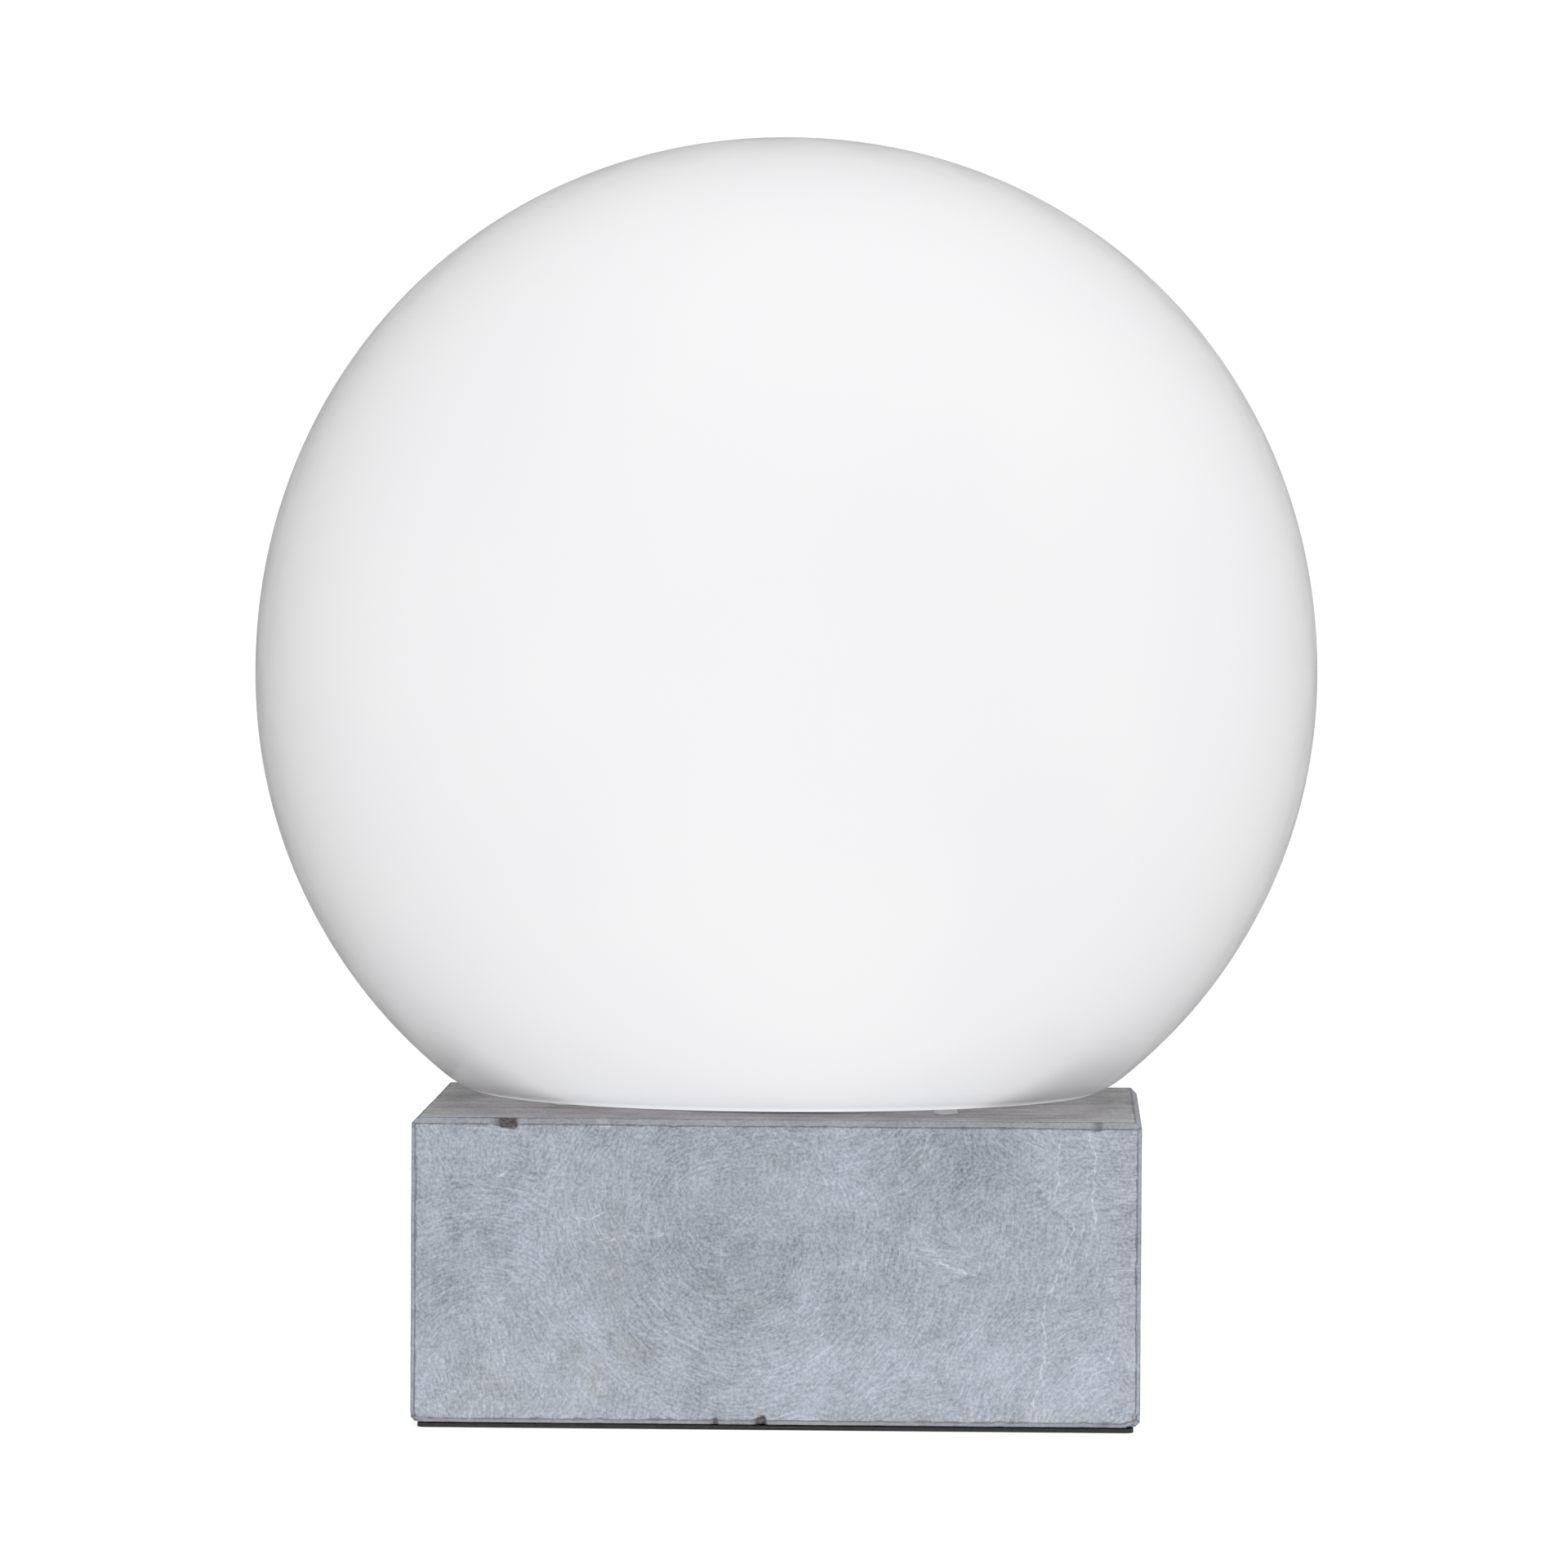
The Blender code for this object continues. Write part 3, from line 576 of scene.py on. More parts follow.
def block_grid(half, chips):
    """A closed box of quads with fine rows along every edge."""
    near = [d * MM for d in EDGE_ROWS]
    lines = [grid_lines(h, BLOCK_GRID, near, chips if axis == 0 else ()) for axis, h in enumerate(half)]
    bm = bmesh.new()
    made = {}

    def vert(*key):
        if key not in made:
            made[key] = bm.verts.new(lines[axis][i] for axis, i in enumerate(key))
        return made[key]

    last = [len(x) - 1 for x in lines]
    for axis in range(3):
        first, second = (axis + 1) % 3, (axis + 2) % 3
        for end in (0, last[axis]):
            for a in range(last[first]):
                for b in range(last[second]):
                    corners = []
                    for da, db in ((0, 0), (1, 0), (1, 1), (0, 1)):
                        index = [0, 0, 0]
                        index[axis], index[first], index[second] = end, a + da, b + db
                        corners.append(vert(*index))
                    bm.faces.new(corners if end else corners[::-1])
    return bm


# Chips in the block's front edges, in millimetres: start, end, 1 above or -1 below, depth.
FRONT_CHIPS = (
    (-66.4, -58.8, 1, 0.95),
    (-15.2, -12.8, -1, 0.5),
    (-5.6, -1.6, -1, 1.0),
    (71.6, 75.2, 1, 0.35),
)


def scattered_chips(half):
    """Chips in the block's other edges, as (axis, side, up or down, start, end, depth)."""
    dice = random.Random(41)
    chips = []
    for _ in range(16):
        axis = dice.choice((0, 1))
        length = dice.uniform(1.5, 5.0) * MM
        start = dice.uniform(-0.9, 0.85) * half[axis]
        side = dice.choice((-1, 1)) if axis else 1
        chips.append((axis, side, dice.choice((-1, 1)), start, start + length, dice.uniform(0.3, 0.9) * MM))
    return chips


def chip_depth(chips, axis, place):
    """How deep the edge along that axis is chipped at a place: each chip deepens slowly and ends steeply."""
    depth = 0.0
    for chip_axis, side, up, start, end, deep in chips:
        if chip_axis != axis or place[1 - axis] * side < 0 or place.z * up < 0:
            continue
        share = (place[axis] - start) / (end - start)
        if 0 < share < 1:
            depth = max(depth, deep * smoothstep(share, 0.0, 0.75) * smoothstep(share, 1.0, 0.78))
    return depth * (1 + 0.4 * noise.noise(place * 900))


def wear(place, seed):
    """How much wider than usual an arris is at a place, in metres: a slow wander and small nicks."""
    slow = noise.noise(place * 45 + Vector((seed, 0, 0)))
    fine = noise.noise(place * 380 + Vector((0, seed, 0)))
    nick = max(0.0, noise.noise(place * 260 + Vector((0, 0, seed))) - 0.42)
    return (0.14 * slow + 0.08 * fine + 1.2 * nick) * MM


def worn(co, half, chips):
    """Where a point of the sharp box goes, how chipped it is there, and how far from an arris."""
    sign = [1 if c > 0 else -1 for c in co]
    depth = [half[k] - abs(co[k]) for k in range(3)]
    chip = 0.0
    from_edge = EDGE_REACH
    for axis in range(3):
        one, two = (axis + 1) % 3, (axis + 2) % 3
        total = depth[one] + depth[two]
        if total > EDGE_REACH:
            continue
        place = Vector(co)
        place[one] = sign[one] * half[one]
        place[two] = sign[two] * half[two]
        chipped = chip_depth(chips, axis, place) if axis < 2 else 0.0
        arris = TOP_ARRIS if axis < 2 and sign[2] > 0 else ARRIS
        width = arris + wear(place, 7.0 + axis) + chipped
        if total < width:
            push = (width - total) / 2
            depth[one] += push
            depth[two] += push
            chip = max(chip, min(1.0, chipped / (0.5 * MM)))
        if abs(total - width) < abs(from_edge):
            from_edge = total - width
    corner = CLIPPED_CORNERS.get(tuple(sign), PLAIN_CORNER) * MM * (1 + 0.25 * noise.noise(co * 500))
    if sum(depth) < corner:
        depth = [d + (corner - sum(depth)) / 3 for d in depth]
    # Honed faces are true to about a twentieth of a millimetre.
    uneven = 0.05 * MM * abs(noise.noise(co * 60))
    depth = [d + uneven if d < FINE else d for d in depth]
    return Vector(sign[k] * (half[k] - depth[k]) for k in range(3)), chip, from_edge


def stone_block():
    """The block, with worn, nicked arrises, chips, and some corners clipped more than the others."""
    low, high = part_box("stone_block")
    half = (high - low) / 2
    front = [(0, -1, up, start * MM, end * MM, deep * MM) for start, end, up, deep in FRONT_CHIPS]
    bm = block_grid(half, [chip[3:5] for chip in front])
    chip_layer = bm.verts.layers.float.new("chip")
    edge_layer = bm.verts.layers.float.new("from_edge")
    chips = front + scattered_chips(half)
    for vert in bm.verts:
        place, vert[chip_layer], vert[edge_layer] = worn(vert.co.copy(), half, chips)
        vert.co = place + (high + low) / 2
    block = finished("stone_block_worn", bm, "base", limestone(), ["stone_block"], sharp=0)
    drill(block, low, high)
    return block


def drill(block, low, high):
    """Cuts the tube's bore, the recess under the block and the cord's hole behind, as the CAD has them."""
    recess_radius, recess_top = 21 * MM, low.z + 22 * MM
    bore_radius = 5.6 * MM
    hole_radius, hole_end, hole_height = 4.8 * MM, 15 * MM, low.z + 12.7 * MM
    past = 5 * MM
    under, above, behind = low.z - past, high.z + past, high.y + past
    recess = [(0, recess_top), (recess_radius, recess_top), (recess_radius, under), (0, under)]
    bore = [(0, above), (bore_radius, above), (bore_radius, low.z + past), (0, low.z + past)]
    hole = [(0, behind), (hole_radius, behind), (hole_radius, hole_end), (0, hole_end)]
    cut_with(block, lathe(eased(recess, 1.5 * MM, 4), 64, closed=False))
    cut_with(block, lathe(bore, 64, closed=False))
    cut_with(block, laid_back(lathe(hole, 64, closed=False), hole_height))
    block.data.set_sharp_from_angle(angle=math.radians(50))


# Opal glass


def opal_glass():
    """Opal glass, satin outside: white all through, with the slow unevenness of blown glass and a painted
    glow on its underside.
    """
    m = Finish("opal_glass", roughness=0.23)
    slow = m.noise(70 * MM, 2.0)
    colour = m.mix(m.ramp(slow, 0.3, 0.7), (0.900, 0.896, 0.912), (0.915, 0.912, 0.924))
    m.set(base_color=colour)
    m.set(roughness=m.ramp(m.noise(12 * MM, 3.0), 0.3, 0.7, 0.20, 0.26), ior=1.5)
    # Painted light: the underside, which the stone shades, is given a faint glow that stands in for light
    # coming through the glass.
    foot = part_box("opal_globe")[0].z
    height = m.split(m.coords.outputs["Object"])[2]
    painted_glow = m.ramp(height, foot + 3.2 * MM, foot + 1.8 * MM, 0.0, UNDERSIDE_PAINTED_GLOW)
    m.set(emission_color=(1.0, 0.99, 1.0), emission_strength=painted_glow)
    m.bump(m.noise(45 * MM, 1.0), 0.25 * MM, 0.25)
    m.bump(m.noise(0.5 * MM, 2.0), 0.01 * MM, 0.15)
    return m.material


def underside(radius):
    """Height of the globe's underside: level near the mouth, then rising to the heel."""
    share = max(0.0, (radius - LEVEL_RADIUS) / (RIM_RADIUS - LEVEL_RADIUS))
    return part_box("stone_block")[1].z + UNDERSIDE_GAP + UNDERSIDE_RISE * share


def opal_globe():
    """The blown shell: side wall, rounded heel, nearly flat underside and the mouth's melted lip."""
    _, high, radius = turned("opal_globe")
    centre = high - GLOBE_UPPER_HEIGHT

    def wall(inset):
        """The side from crown to heel, drawn in by inset: two slightly squared quarter circles."""
        across, up, down = radius - inset, GLOBE_UPPER_HEIGHT - inset, GLOBE_LOWER_HEIGHT - inset
        points = [(0.0, high - inset)]
        upper, lower = 48, 34
        power = 2 / GLOBE_UPPER_POWER
        for i in range(1, upper + 1):
            angle = math.pi / 2 * (1 - i / upper)
            points.append((across * math.cos(angle) ** power, centre + up * math.sin(angle) ** power))
        power = 2 / GLOBE_LOWER_POWER
        for i in range(1, lower + 1):
            angle = GLOBE_FOOT_ANGLE * i / lower
            points.append((across * math.cos(angle) ** power, centre - down * math.sin(angle) ** power))
        return points

    rim = (RIM_RADIUS, underside(RIM_RADIUS))
    profile = wall(0.0)
    profile += curve_corner(profile[-1], (RIM_RADIUS + HEEL, rim[1]), rim, 14)
    profile += [(r * MM, underside(r * MM)) for r in range(66, 40, -4)]
    lip_low = underside(MOUTH_RADIUS)
    lip_high = lip_low + GLASS
    profile += curve_corner(profile[-1], (MOUTH_RADIUS, lip_low), (MOUTH_RADIUS, lip_low + GLASS / 2), 6)
    profile += curve_corner(profile[-1], (MOUTH_RADIUS, lip_high), (MOUTH_RADIUS + 2 * MM, lip_high), 6)
    floor = (RIM_RADIUS - HEEL, underside(RIM_RADIUS - HEEL) + GLASS)
    profile += [(r * MM, underside(r * MM) + GLASS) for r in range(44, 64, 4)] + [floor]
    inside = wall(GLASS)[::-1]
    profile += curve_corner(floor, (floor[0] + 6 * MM, floor[1] + 0.3 * MM), inside[0], 12)[:-1]
    bm = lathe(profile + inside, 192, closed=False)
    globe = finished("opal_globe_blown", bm, "shade", opal_glass(), ["opal_globe"], sharp=0)
    # Opal glass lets light through, so the stone under it is hardly shaded.
    globe.visible_shadow = False
    return globe


# Small parts on the block


def clear_silicone():
    m = Finish("clear_silicone", roughness=0.12)
    cloud = m.ramp(m.noise(1.5 * MM, 3.0), 0.3, 0.7)
    m.set(base_color=m.mix(cloud, (0.90, 0.93, 0.93), (0.96, 0.97, 0.97)))
    m.set(roughness=m.ramp(m.noise(0.8 * MM, 2.0), 0.3, 0.7, 0.08, 0.2))
    m.set(transmission_weight=0.55, ior=1.41)
    m.bump(m.noise(0.9 * MM, 2.0), 0.02 * MM, 0.4)
    return m.material


def glass_bumpers():
    """Clear dots that fill the space between the stone and the glass, slightly flattened by its weight."""
    material = clear_silicone()
    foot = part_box("stone_block")[1].z - 0.05 * MM
    slope = UNDERSIDE_RISE / (RIM_RADIUS - LEVEL_RADIUS)
    for i in range(1, 4):
        low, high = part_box(f"glass_bumper_{i}")
        centre = (low + high) / 2
        radius = (high.x - low.x) / 2
        glass = underside(math.hypot(centre.x, centre.y))
        middle = (glass + foot) / 2
        outline = [(0, glass), (radius * 0.86, glass), (radius, middle), (radius, foot), (0, foot)]
        bm = lathe(eased(outline, 0.7 * MM, 6, closed=False), 40, closed=False)
        outward = Vector((centre.x, centre.y)).normalized()
        for vert in bm.verts:
            if vert.co.z > middle:
                vert.co.z += slope * (vert.co.x * outward.x + vert.co.y * outward.y)
        bmesh.ops.translate(bm, vec=(centre.x, centre.y, 0), verts=bm.verts)
        finished(f"silicone_dot_{i}", bm, "base", material, [f"glass_bumper_{i}"], sharp=0)


def rubber(name, colour, size):
    m = Finish(name, roughness=0.7)
    speckle = m.ramp(m.noise(size, 4.0, rough=0.7), 0.3, 0.7, 0.75, 1.3)
    m.set(base_color=m.shaded(colour, speckle))
    m.set(roughness=m.ramp(m.noise(size * 3, 3.0), 0.3, 0.7, 0.6, 0.8))
    m.bump(m.noise(size, 3.0), size / 6, 0.6)
    return m.material


def cord_bush():
    """Moulded bush: a rounded flange with a bead round the cord's way in."""
    low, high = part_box("cord_bush")
    centre = (low + high) / 2
    flange_back = high.y - 1.8 * MM
    bore = 3.1 * MM
    stem = 4.5 * MM
    flange = 7.0 * MM
    outline = [
        (bore, high.y),
        (4.4 * MM, high.y),
        (4.9 * MM, high.y - 0.5 * MM),
        (6.4 * MM, high.y - 0.5 * MM),
        (flange, high.y - 1.1 * MM),
        (flange, flange_back),
        (stem, flange_back),
        (stem, low.y),
        (bore, low.y),
    ]
    bm = laid_back(lathe(eased(outline, 0.35 * MM, 4), 64), centre.z)
    material = rubber("black_rubber", (0.026, 0.026, 0.028), 0.6 * MM)
    return finished("cord_bush_moulded", bm, "base", material, ["cord_bush"])


# Fixings


def brushed(name, colour, roughness):
    """Metal with fine drawn or turned lines and slight tarnish."""
    m = Finish(name, roughness=roughness, metallic=1.0)
    lines = m.noise(1.0, 3.0, m.place(scale=(400, 400, 3000)))
    tarnish = m.ramp(m.noise(6 * MM, 4.0), 0.3, 0.7, 0.86, 1.06)
    m.set(base_color=m.shaded(colour, m.math("ADD", tarnish, m.ramp(lines, 0.3, 0.7, -0.05, 0.05))))
    m.set(roughness=m.ramp(lines, 0.25, 0.75, roughness - 0.08, roughness + 0.12))
    m.bump(lines, 0.02 * MM, 0.4)
    return m.material


def satin_paint(name, colour, roughness=0.38):
    """Powder coat or moulded plastic: a fine skin texture and faint unevenness of tone."""
    m = Finish(name, roughness=roughness)
    tone = m.ramp(m.noise(18 * MM, 3.0), 0.3, 0.7, 0.975, 1.02)
    m.set(base_color=m.shaded(colour, tone))
    m.set(roughness=m.ramp(m.noise(3 * MM, 3.0), 0.3, 0.7, roughness - 0.05, roughness + 0.06))
    m.bump(m.noise(0.7 * MM, 3.0), 0.03 * MM, 0.35)
    return m.material


def threaded_tube(material):
    """M10 x 1 tube with its thread cut along the whole length."""
    low, high, radius = turned("threaded_tube")
    pitch = 1.0 * MM
    depth = 0.5 * MM
    bore = 4.0 * MM
    rows = round((high - low) / pitch * 4)
    outside = [(radius, high + (low - high) * i / rows) for i in range(rows + 1)]
    profile = [(bore, high), (radius - depth, high)] + outside[1:-1] + [(radius - depth, low), (bore, low)]

    def thread(r, angle, z):
        if r < radius - FINE:
            return 0.0
        turn = (z / pitch - angle / math.tau) % 1
        return -depth * (1 - abs(2 * turn - 1))

    bm = each_turned(lathe(profile, 28), thread)
    return finished("threaded_tube_cut", bm, "base", material, ["threaded_tube"], sharp=0)


def hex_nut(node, material):
    """A pressed hexagon nut: chamfered corners above and below, and a countersunk bore."""
    low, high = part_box(node)
    across_flats = high.y - low.y
    bottom, top = low.z, high.z
    rows = 14
    heights = [top + (bottom - top) * i / rows for i in range(rows + 1)]
    not_shaped_yet = 1.0
    profile = [(not_shaped_yet, z) for z in heights]
    bore = 5.3 * MM
    countersink = 0.6 * MM
    profile += [(bore + countersink, bottom), (bore, bottom + countersink)]
    profile += [(bore, top - countersink), (bore + countersink, top)]
    bm = lathe(profile, 120)
    corner = across_flats / math.sqrt(3)
    chamfer, steepness = 1.1 * MM, 1.9
    for vert in bm.verts:
        if vert.co.xy.length < not_shaped_yet / 2:
            continue
        angle = math.atan2(vert.co.y, vert.co.x)
        around = (angle + math.pi / 6) % (math.pi / 3) - math.pi / 6
        around = math.pi / 6 - abs(around)
        flat = across_flats / 2 / math.cos(around)
        from_face = min(vert.co.z - bottom, top - vert.co.z)
        cone = corner - chamfer + from_face * steepness
        radius = min(flat, cone)
        vert.co.x = radius * math.cos(angle)
        vert.co.y = radius * math.sin(angle)
    return finished(f"{node}_pressed", bm, "base", material, [node], sharp=25)


def centring_disc(material):
    """Spun steel disc with a rolled rim and a raised ring round the tube."""
    low, high, radius = turned("centring_disc")
    bore = 5.3 * MM
    outline = [
        (bore, high),
        (10.5 * MM, high),
        (11.5 * MM, high - 0.6 * MM),
        (radius - 5 * MM, high - 0.6 * MM),
        (radius - 4 * MM, high),
        (radius - 1 * MM, high),
        (radius, high - 1 * MM),
        (radius, low),
        (bore, low),
    ]
    bm = lathe(eased(outline, 0.5 * MM, 4), 128)
    return finished("centring_disc_spun", bm, "base", material, ["centring_disc"])


# Lampholder


def holder_cap(material):
    """Lower half of the lampholder, with grip ribs round its wide part."""
    low, high, radius = turned("holder_cap")
    neck = 9.5 * MM
    wall = 1.8 * MM
    inside = radius - wall
    bore = 5.3 * MM
    shoulder = low + 17 * MM
    start = (radius, shoulder)
    outline = [(radius, high)] + filled([(radius, high - 0.4 * MM), start], 0.6 * MM)
    outline += curve_corner(start, (radius, low + 12 * MM), (neck, low + 9.5 * MM), 14)
    outline += [(neck, low + 0.5 * MM), (neck - 0.5 * MM, low), (bore, low), (bore, low + 12.2 * MM)]
    inner_end = (inside, shoulder + 0.8 * MM)
    outline += curve_corner(outline[-1], (inside, low + 12.2 * MM), inner_end, 8)
    outline += [(inside, high)]
    ribs = 36

    def rib(r, angle, z):
        if r < inside + FINE + wall / 2:
            return 0.0
        ends = smoothstep(z, shoulder, shoulder + 1.2 * MM) * smoothstep(z, high - 0.4 * MM, high - 1.4 * MM)
        return -0.45 * MM * ends * max(0.0, math.cos(angle * ribs)) ** 2

    bm = each_turned(lathe(outline, ribs * 6), rib)
    cap = finished("holder_cap_ribbed", bm, "base", material, ["holder_cap"])
    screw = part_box("holder_grub_screw")
    hole_radius, past = 2.3 * MM, 15 * MM
    hole = lathe([(0, past), (hole_radius, past), (hole_radius, 0), (0, 0)], 40, closed=False)
    cut_with(cap, laid_back(hole, (screw[0].z + screw[1].z) / 2))
    return cap


def holder_sleeve(material):
    """Upper half of the lampholder: a smooth tube with a beaded rim and a groove above the joint."""
    low, high, bead_radius = turned("holder_sleeve")
    bead = 0.8 * MM
    radius = bead_radius - bead
    inside = radius - 1.8 * MM
    outline = [
        (radius - 0.3 * MM, high),
        (bead_radius, high - bead),
        (bead_radius, high - 2 * bead),
        (radius, high - 3 * bead),
        (radius, low + 3.4 * MM),
        (radius - 0.5 * MM, low + 2.9 * MM),
        (radius - 0.5 * MM, low + 2.1 * MM),
        (radius, low + 1.6 * MM),
        (radius, low),
        (inside, low),
        (inside, high),
    ]
    bm = lathe(eased(outline, 0.35 * MM, 4), 128)
    return finished("holder_sleeve_turned", bm, "base", material, ["holder_sleeve"])


def edison(low, high, ends):
    """The rolled thread's change of radius, running out inwards (ends -1) or outwards (ends 1)."""

    def shift(radius, angle, z):
        if not low - FINE < z < high + FINE:
            return 0.0
        fade = min(1.0, abs(z - low) / EDISON_PITCH, abs(high - z) / EDISON_PITCH)
        wave = math.cos(math.tau * z / EDISON_PITCH - angle)
        return EDISON_DEPTH / 2 * (fade * wave + (1 - fade) * ends)

    return shift


def rows(radius, low, high):
    """A straight line down the outline, cut finely enough to carry the thread."""
    per_turn = 12
    count = round((high - low) / EDISON_PITCH * per_turn)
    return [(radius, high + (low - high) * i / count) for i in range(count + 1)]


def screw_shell(material):
    low, high, mouth = turned("screw_shell")
    sheet = 0.5 * MM
    outer = mouth - EDISON_DEPTH
    inner = outer - sheet
    thread_low = low + 3.7 * MM
    thread_high = high - 2 * MM
    profile = [(mouth, high)] + rows(outer, thread_low, thread_high)
    profile += [(outer, low), (8 * MM, low), (8 * MM, low + sheet), (inner, low + sheet)]
    profile += rows(inner, thread_low, thread_high)[::-1] + [(mouth - sheet, high)]
    bm = each_turned(lathe(profile, 72), edison(thread_low, thread_high, 1))
    return finished("screw_shell_rolled", bm, "base", material, ["screw_shell"], sharp=50)


# Bulb


def bulb_cap(material):
    low, high, _ = turned("bulb_cap")
    sheet = 0.5 * MM
    crest = 12.65 * MM
    thread_low = low + 1 * MM
    thread_high = high - 3.5 * MM
    foot = crest - EDISON_DEPTH
    collar = 13.2 * MM
    profile = [(collar, high), (collar, high - 1.6 * MM), (collar - 0.5 * MM, high - 2.3 * MM)]
    profile += rows(crest, thread_low, thread_high)
    profile += [(foot, low), (foot - sheet, low)]
    profile += rows(crest - sheet, thread_low, thread_high)[::-1] + [(collar - sheet, high)]
    bm = each_turned(lathe(profile, 72), edison(thread_low, thread_high, -1))
    return finished("bulb_cap_rolled", bm, "bulb", material, ["bulb_cap"], sharp=50)


def bulb_insulator():
    low, high, wide = turned("bulb_insulator")
    outline = [(0, high), (wide, high), (wide, high - 0.5 * MM), (6.6 * MM, low), (0, low)]
    m = Finish("black_glass", roughness=0.1)
    swirl = m.ramp(m.noise(3 * MM, 3.0, warp=1.5), 0.3, 0.7)
    m.set(base_color=m.mix(swirl, (0.012, 0.012, 0.014), (0.035, 0.033, 0.040)))
    m.set(roughness=m.ramp(m.noise(1.5 * MM, 2.0), 0.3, 0.7, 0.06, 0.18))
    bm = lathe(eased(outline, 0.5 * MM, 5, closed=False), 72, closed=False)
    return finished("bulb_insulator_cast", bm, "bulb", m.material, ["bulb_insulator"])


def bulb_tip(material):
    """Round tip contact with a soldered crown underneath."""
    low, high, radius = turned("bulb_tip_contact")
    outline = [(0, high), (radius, high), (radius, low + 0.8 * MM), (radius * 0.7, low + 0.2 * MM), (0, low)]
    bm = lathe(eased(outline, 0.3 * MM, 5, closed=False), 64, closed=False)
    nodes = ["bulb_tip_contact"]
    return finished("bulb_tip_crowned", bm, "bulb_seat", material, nodes, sharp=0)


def bulb_housing(material):
    """Moulded heat-sink housing: smooth neck, shallow fins up its flare and a plain band at the rim."""
    low, high, rim = turned("bulb_housing")
    neck = 13.6 * MM
    wall = 1.6 * MM
    steps = 40
    outside = []
    for i in range(steps + 1):
        share = 1 - i / steps
        outside.append((neck + (rim - neck) * share * share * (3 - 2 * share), low + (high - low) * share))
    inside = [(r - wall, z) for r, z in outside]
    fins = 30

    def fin(r, angle, z):
        share = (z - low) / (high - low)
        here = neck + (rim - neck) * share * share * (3 - 2 * share)
        if r < here - wall / 2:
            return 0.0
        ends = smoothstep(share, 0.14, 0.24) * smoothstep(share, 0.84, 0.74)
        groove = smoothstep(math.cos(angle * fins), 0.1, 0.8)
        return -0.7 * MM * ends * groove

    bm = each_turned(lathe(outside + inside[::-1], fins * 8), fin)
    return finished("bulb_housing_finned", bm, "bulb", material, ["bulb_housing"], sharp=50)


def bulb_diffuser():
    low, high, radius = turned("bulb_diffuser")
    wall = 1.2 * MM
    widest = low + 10 * MM
    edge = radius - 1 * MM
    foot = math.acos(edge / radius)
    drop = (widest - low) / math.sin(foot)

    def dome(inset):
        steps = 40
        points = []
        for i in range(steps):
            angle = (math.pi / 2 + foot) * i / steps - foot
            up = high - widest - inset if angle > 0 else drop
            points.append(((radius - inset) * math.cos(angle), widest + up * math.sin(angle)))
        return points + [(0.0, high - inset)]

    m = Finish("opal_plastic", roughness=0.36)
    slow = m.ramp(m.noise(30 * MM, 2.0), 0.3, 0.7)
    m.set(base_color=m.mix(slow, (0.90, 0.90, 0.885), (0.93, 0.93, 0.92)))
    m.set(roughness=m.ramp(m.noise(5 * MM, 3.0), 0.3, 0.7, 0.3, 0.42), subsurface_weight=0.35)
    m.set(subsurface_radius=(1.0, 0.95, 0.9), subsurface_scale=2 * MM)
    m.bump(m.noise(0.6 * MM, 2.0), 0.02 * MM, 0.3)
    bm = lathe(dome(0.0)[::-1] + dome(wall), 128, closed=False)
    return finished("bulb_diffuser_moulded", bm, "bulb", m.material, ["bulb_diffuser"])


# CAD nodes that stay as they are, with a finish of their own


def circuit_board():
    m = Finish("solder_mask", roughness=0.4)
    inputs = {"Vector": m.place(), "Scale": 1 / (3 * MM)}
    cells = m.node("ShaderNodeTexVoronoi", inputs, distance="MANHATTAN")
    tracks = m.ramp(cells.outputs["Distance"], 0.30, 0.36)
    m.set(base_color=m.mix(tracks, (0.04, 0.19, 0.09), (0.07, 0.27, 0.13)))
    m.set(roughness=m.ramp(m.noise(2 * MM, 3.0), 0.3, 0.7, 0.32, 0.5))
    m.bump(tracks, 0.04 * MM, 0.5)
    return m.material


def ceramic():
    m = Finish("insert_ceramic", roughness=0.6)
    grain = m.ramp(m.noise(0.8 * MM, 4.0, rough=0.7), 0.3, 0.7, 0.92, 1.05)
    m.set(base_color=m.shaded((0.80, 0.78, 0.73), grain))
    m.set(roughness=m.ramp(m.noise(2 * MM, 3.0), 0.3, 0.7, 0.52, 0.7))
    m.bump(m.noise(0.6 * MM, 4.0), 0.05 * MM, 0.5)
    return m.material


def dress(material, *names):
    """Gives kept CAD nodes their finish."""
    for name in names:
        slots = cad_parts[name].data.materials
        slots.clear()
        slots.append(material)


# Stage


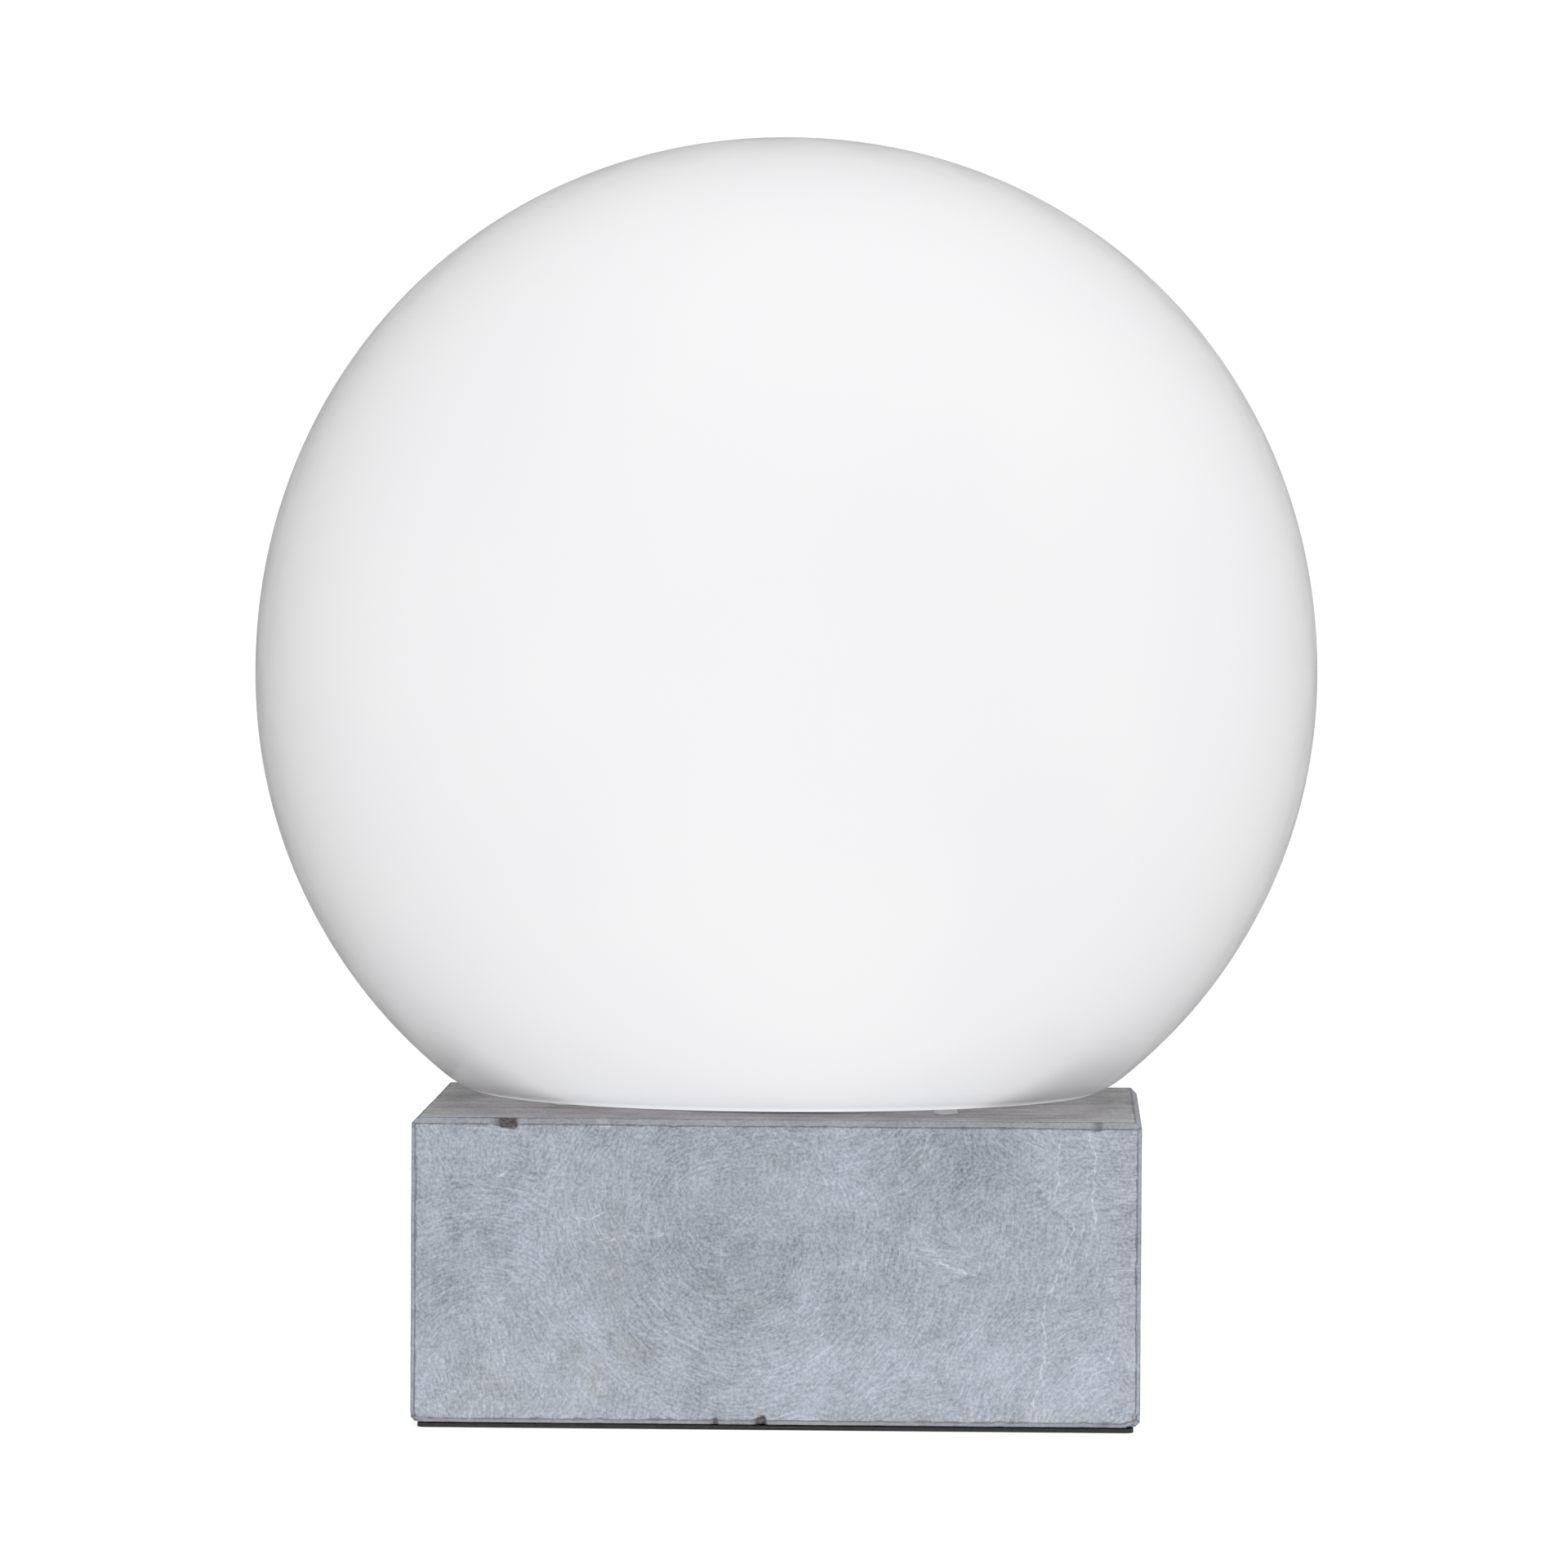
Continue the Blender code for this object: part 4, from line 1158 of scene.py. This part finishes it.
def studio():
    """A soft light of broad lobes, a white backdrop for the camera alone, and a plain pale floor."""
    world = bpy.data.worlds.new("studio")
    bpy.context.scene.world = world
    world.use_nodes = True
    tree = world.node_tree
    tree.nodes.clear()
    link = tree.links.new

    def value(operation, a, b):
        node = tree.nodes.new("ShaderNodeMath")
        node.operation = operation
        for socket, given in zip(node.inputs, (a, b)):
            if isinstance(given, bpy.types.NodeSocket):
                link(given, socket)
            else:
                socket.default_value = given
        return node.outputs[0]

    direction = tree.nodes.new("ShaderNodeTexCoord").outputs["Generated"]
    level = 0.0
    for towards, strength, narrowness in LIGHT_LOBES:
        dot = tree.nodes.new("ShaderNodeVectorMath")
        dot.operation = "DOT_PRODUCT"
        link(direction, dot.inputs[0])
        dot.inputs[1].default_value = Vector(towards).normalized()
        share = value("MULTIPLY", value("ADD", dot.outputs["Value"], 1.0), 0.5)
        level = value("ADD", value("MULTIPLY", value("POWER", share, narrowness), strength), level)
    seen = tree.nodes.new("ShaderNodeLightPath").outputs["Is Camera Ray"]
    level = value("MAXIMUM", level, value("MULTIPLY", seen, BACKDROP))
    background = tree.nodes.new("ShaderNodeBackground")
    background.inputs["Color"].default_value = (1, 1, 1, 1)
    link(level, background.inputs["Strength"])
    link(background.outputs[0], tree.nodes.new("ShaderNodeOutputWorld").inputs["Surface"])

    bm = lathe([(0, 0), (FLOOR_RADIUS, 0)], 96, closed=False)
    mesh = bpy.data.meshes.new("floor")
    bm.to_mesh(mesh)
    bm.free()
    floor = bpy.data.objects.new("floor", mesh)
    bpy.context.scene.collection.objects.link(floor)
    m = Finish("pale_floor", roughness=0.9)
    m.set(base_color=(0.25, 0.25, 0.25), emission_color=(1, 1, 1), emission_strength=0.85)
    m.set(specular_ior_level=0.0)
    mesh.materials.append(m.material)
    floor.visible_diffuse = False
    floor.visible_glossy = False


def camera():
    data = bpy.data.cameras.new("camera")
    data.lens = CAMERA_LENS
    data.sensor_width = SENSOR
    data.clip_end = 200.0
    made = bpy.data.objects.new("camera", data)
    bpy.context.scene.collection.objects.link(made)
    away = Matrix.Translation((CAMERA_ASIDE, -CAMERA_DISTANCE, CAMERA_HEIGHT))
    place = Matrix.Rotation(CAMERA_TURN, 4, "Z") @ away
    aim = Matrix.Rotation(math.pi / 2 - CAMERA_PITCH, 4, "X") @ Matrix.Rotation(CAMERA_ROLL, 4, "Z")
    made.matrix_world = place @ aim
    bpy.context.scene.camera = made
    bpy.context.scene.view_settings.view_transform = "Standard"


studio()
camera()

zinc = brushed("zinc_steel", (0.62, 0.62, 0.60), 0.36)
brass = brushed("brass", (0.74, 0.53, 0.25), 0.30)
nickel = brushed("nickel_cap", (0.71, 0.70, 0.67), 0.27)
tinned = brushed("tip_metal", (0.66, 0.62, 0.53), 0.36)
white_metal = satin_paint("white_metal", (0.85, 0.85, 0.84))
holder_plastic = satin_paint("holder_plastic", (0.86, 0.86, 0.84), 0.42)
bulb_plastic = satin_paint("bulb_plastic", (0.88, 0.88, 0.87), 0.36)

stone_block()
opal_globe()
glass_bumpers()
cord_bush()
threaded_tube(zinc)
hex_nut("tube_nut_upper", zinc)
hex_nut("tube_nut_lower", zinc)
centring_disc(white_metal)
holder_cap(holder_plastic)
holder_sleeve(holder_plastic)
screw_shell(brass)
bulb_cap(nickel)
bulb_insulator()
bulb_tip(tinned)
bulb_housing(bulb_plastic)
bulb_diffuser()

dress(rubber("pad_foam", (0.022, 0.022, 0.023), 0.5 * MM), "base_pad")
dress(zinc, "tube_washer", "lock_washer", "holder_grub_screw")
dress(brass, "terminal_screw_live", "terminal_screw_neutral", "centre_contact", "side_contact")
dress(ceramic(), "holder_insert")
dress(circuit_board(), "bulb_driver_board")
dress(satin_paint("board_white", (0.85, 0.85, 0.82), 0.3), "bulb_led_board")
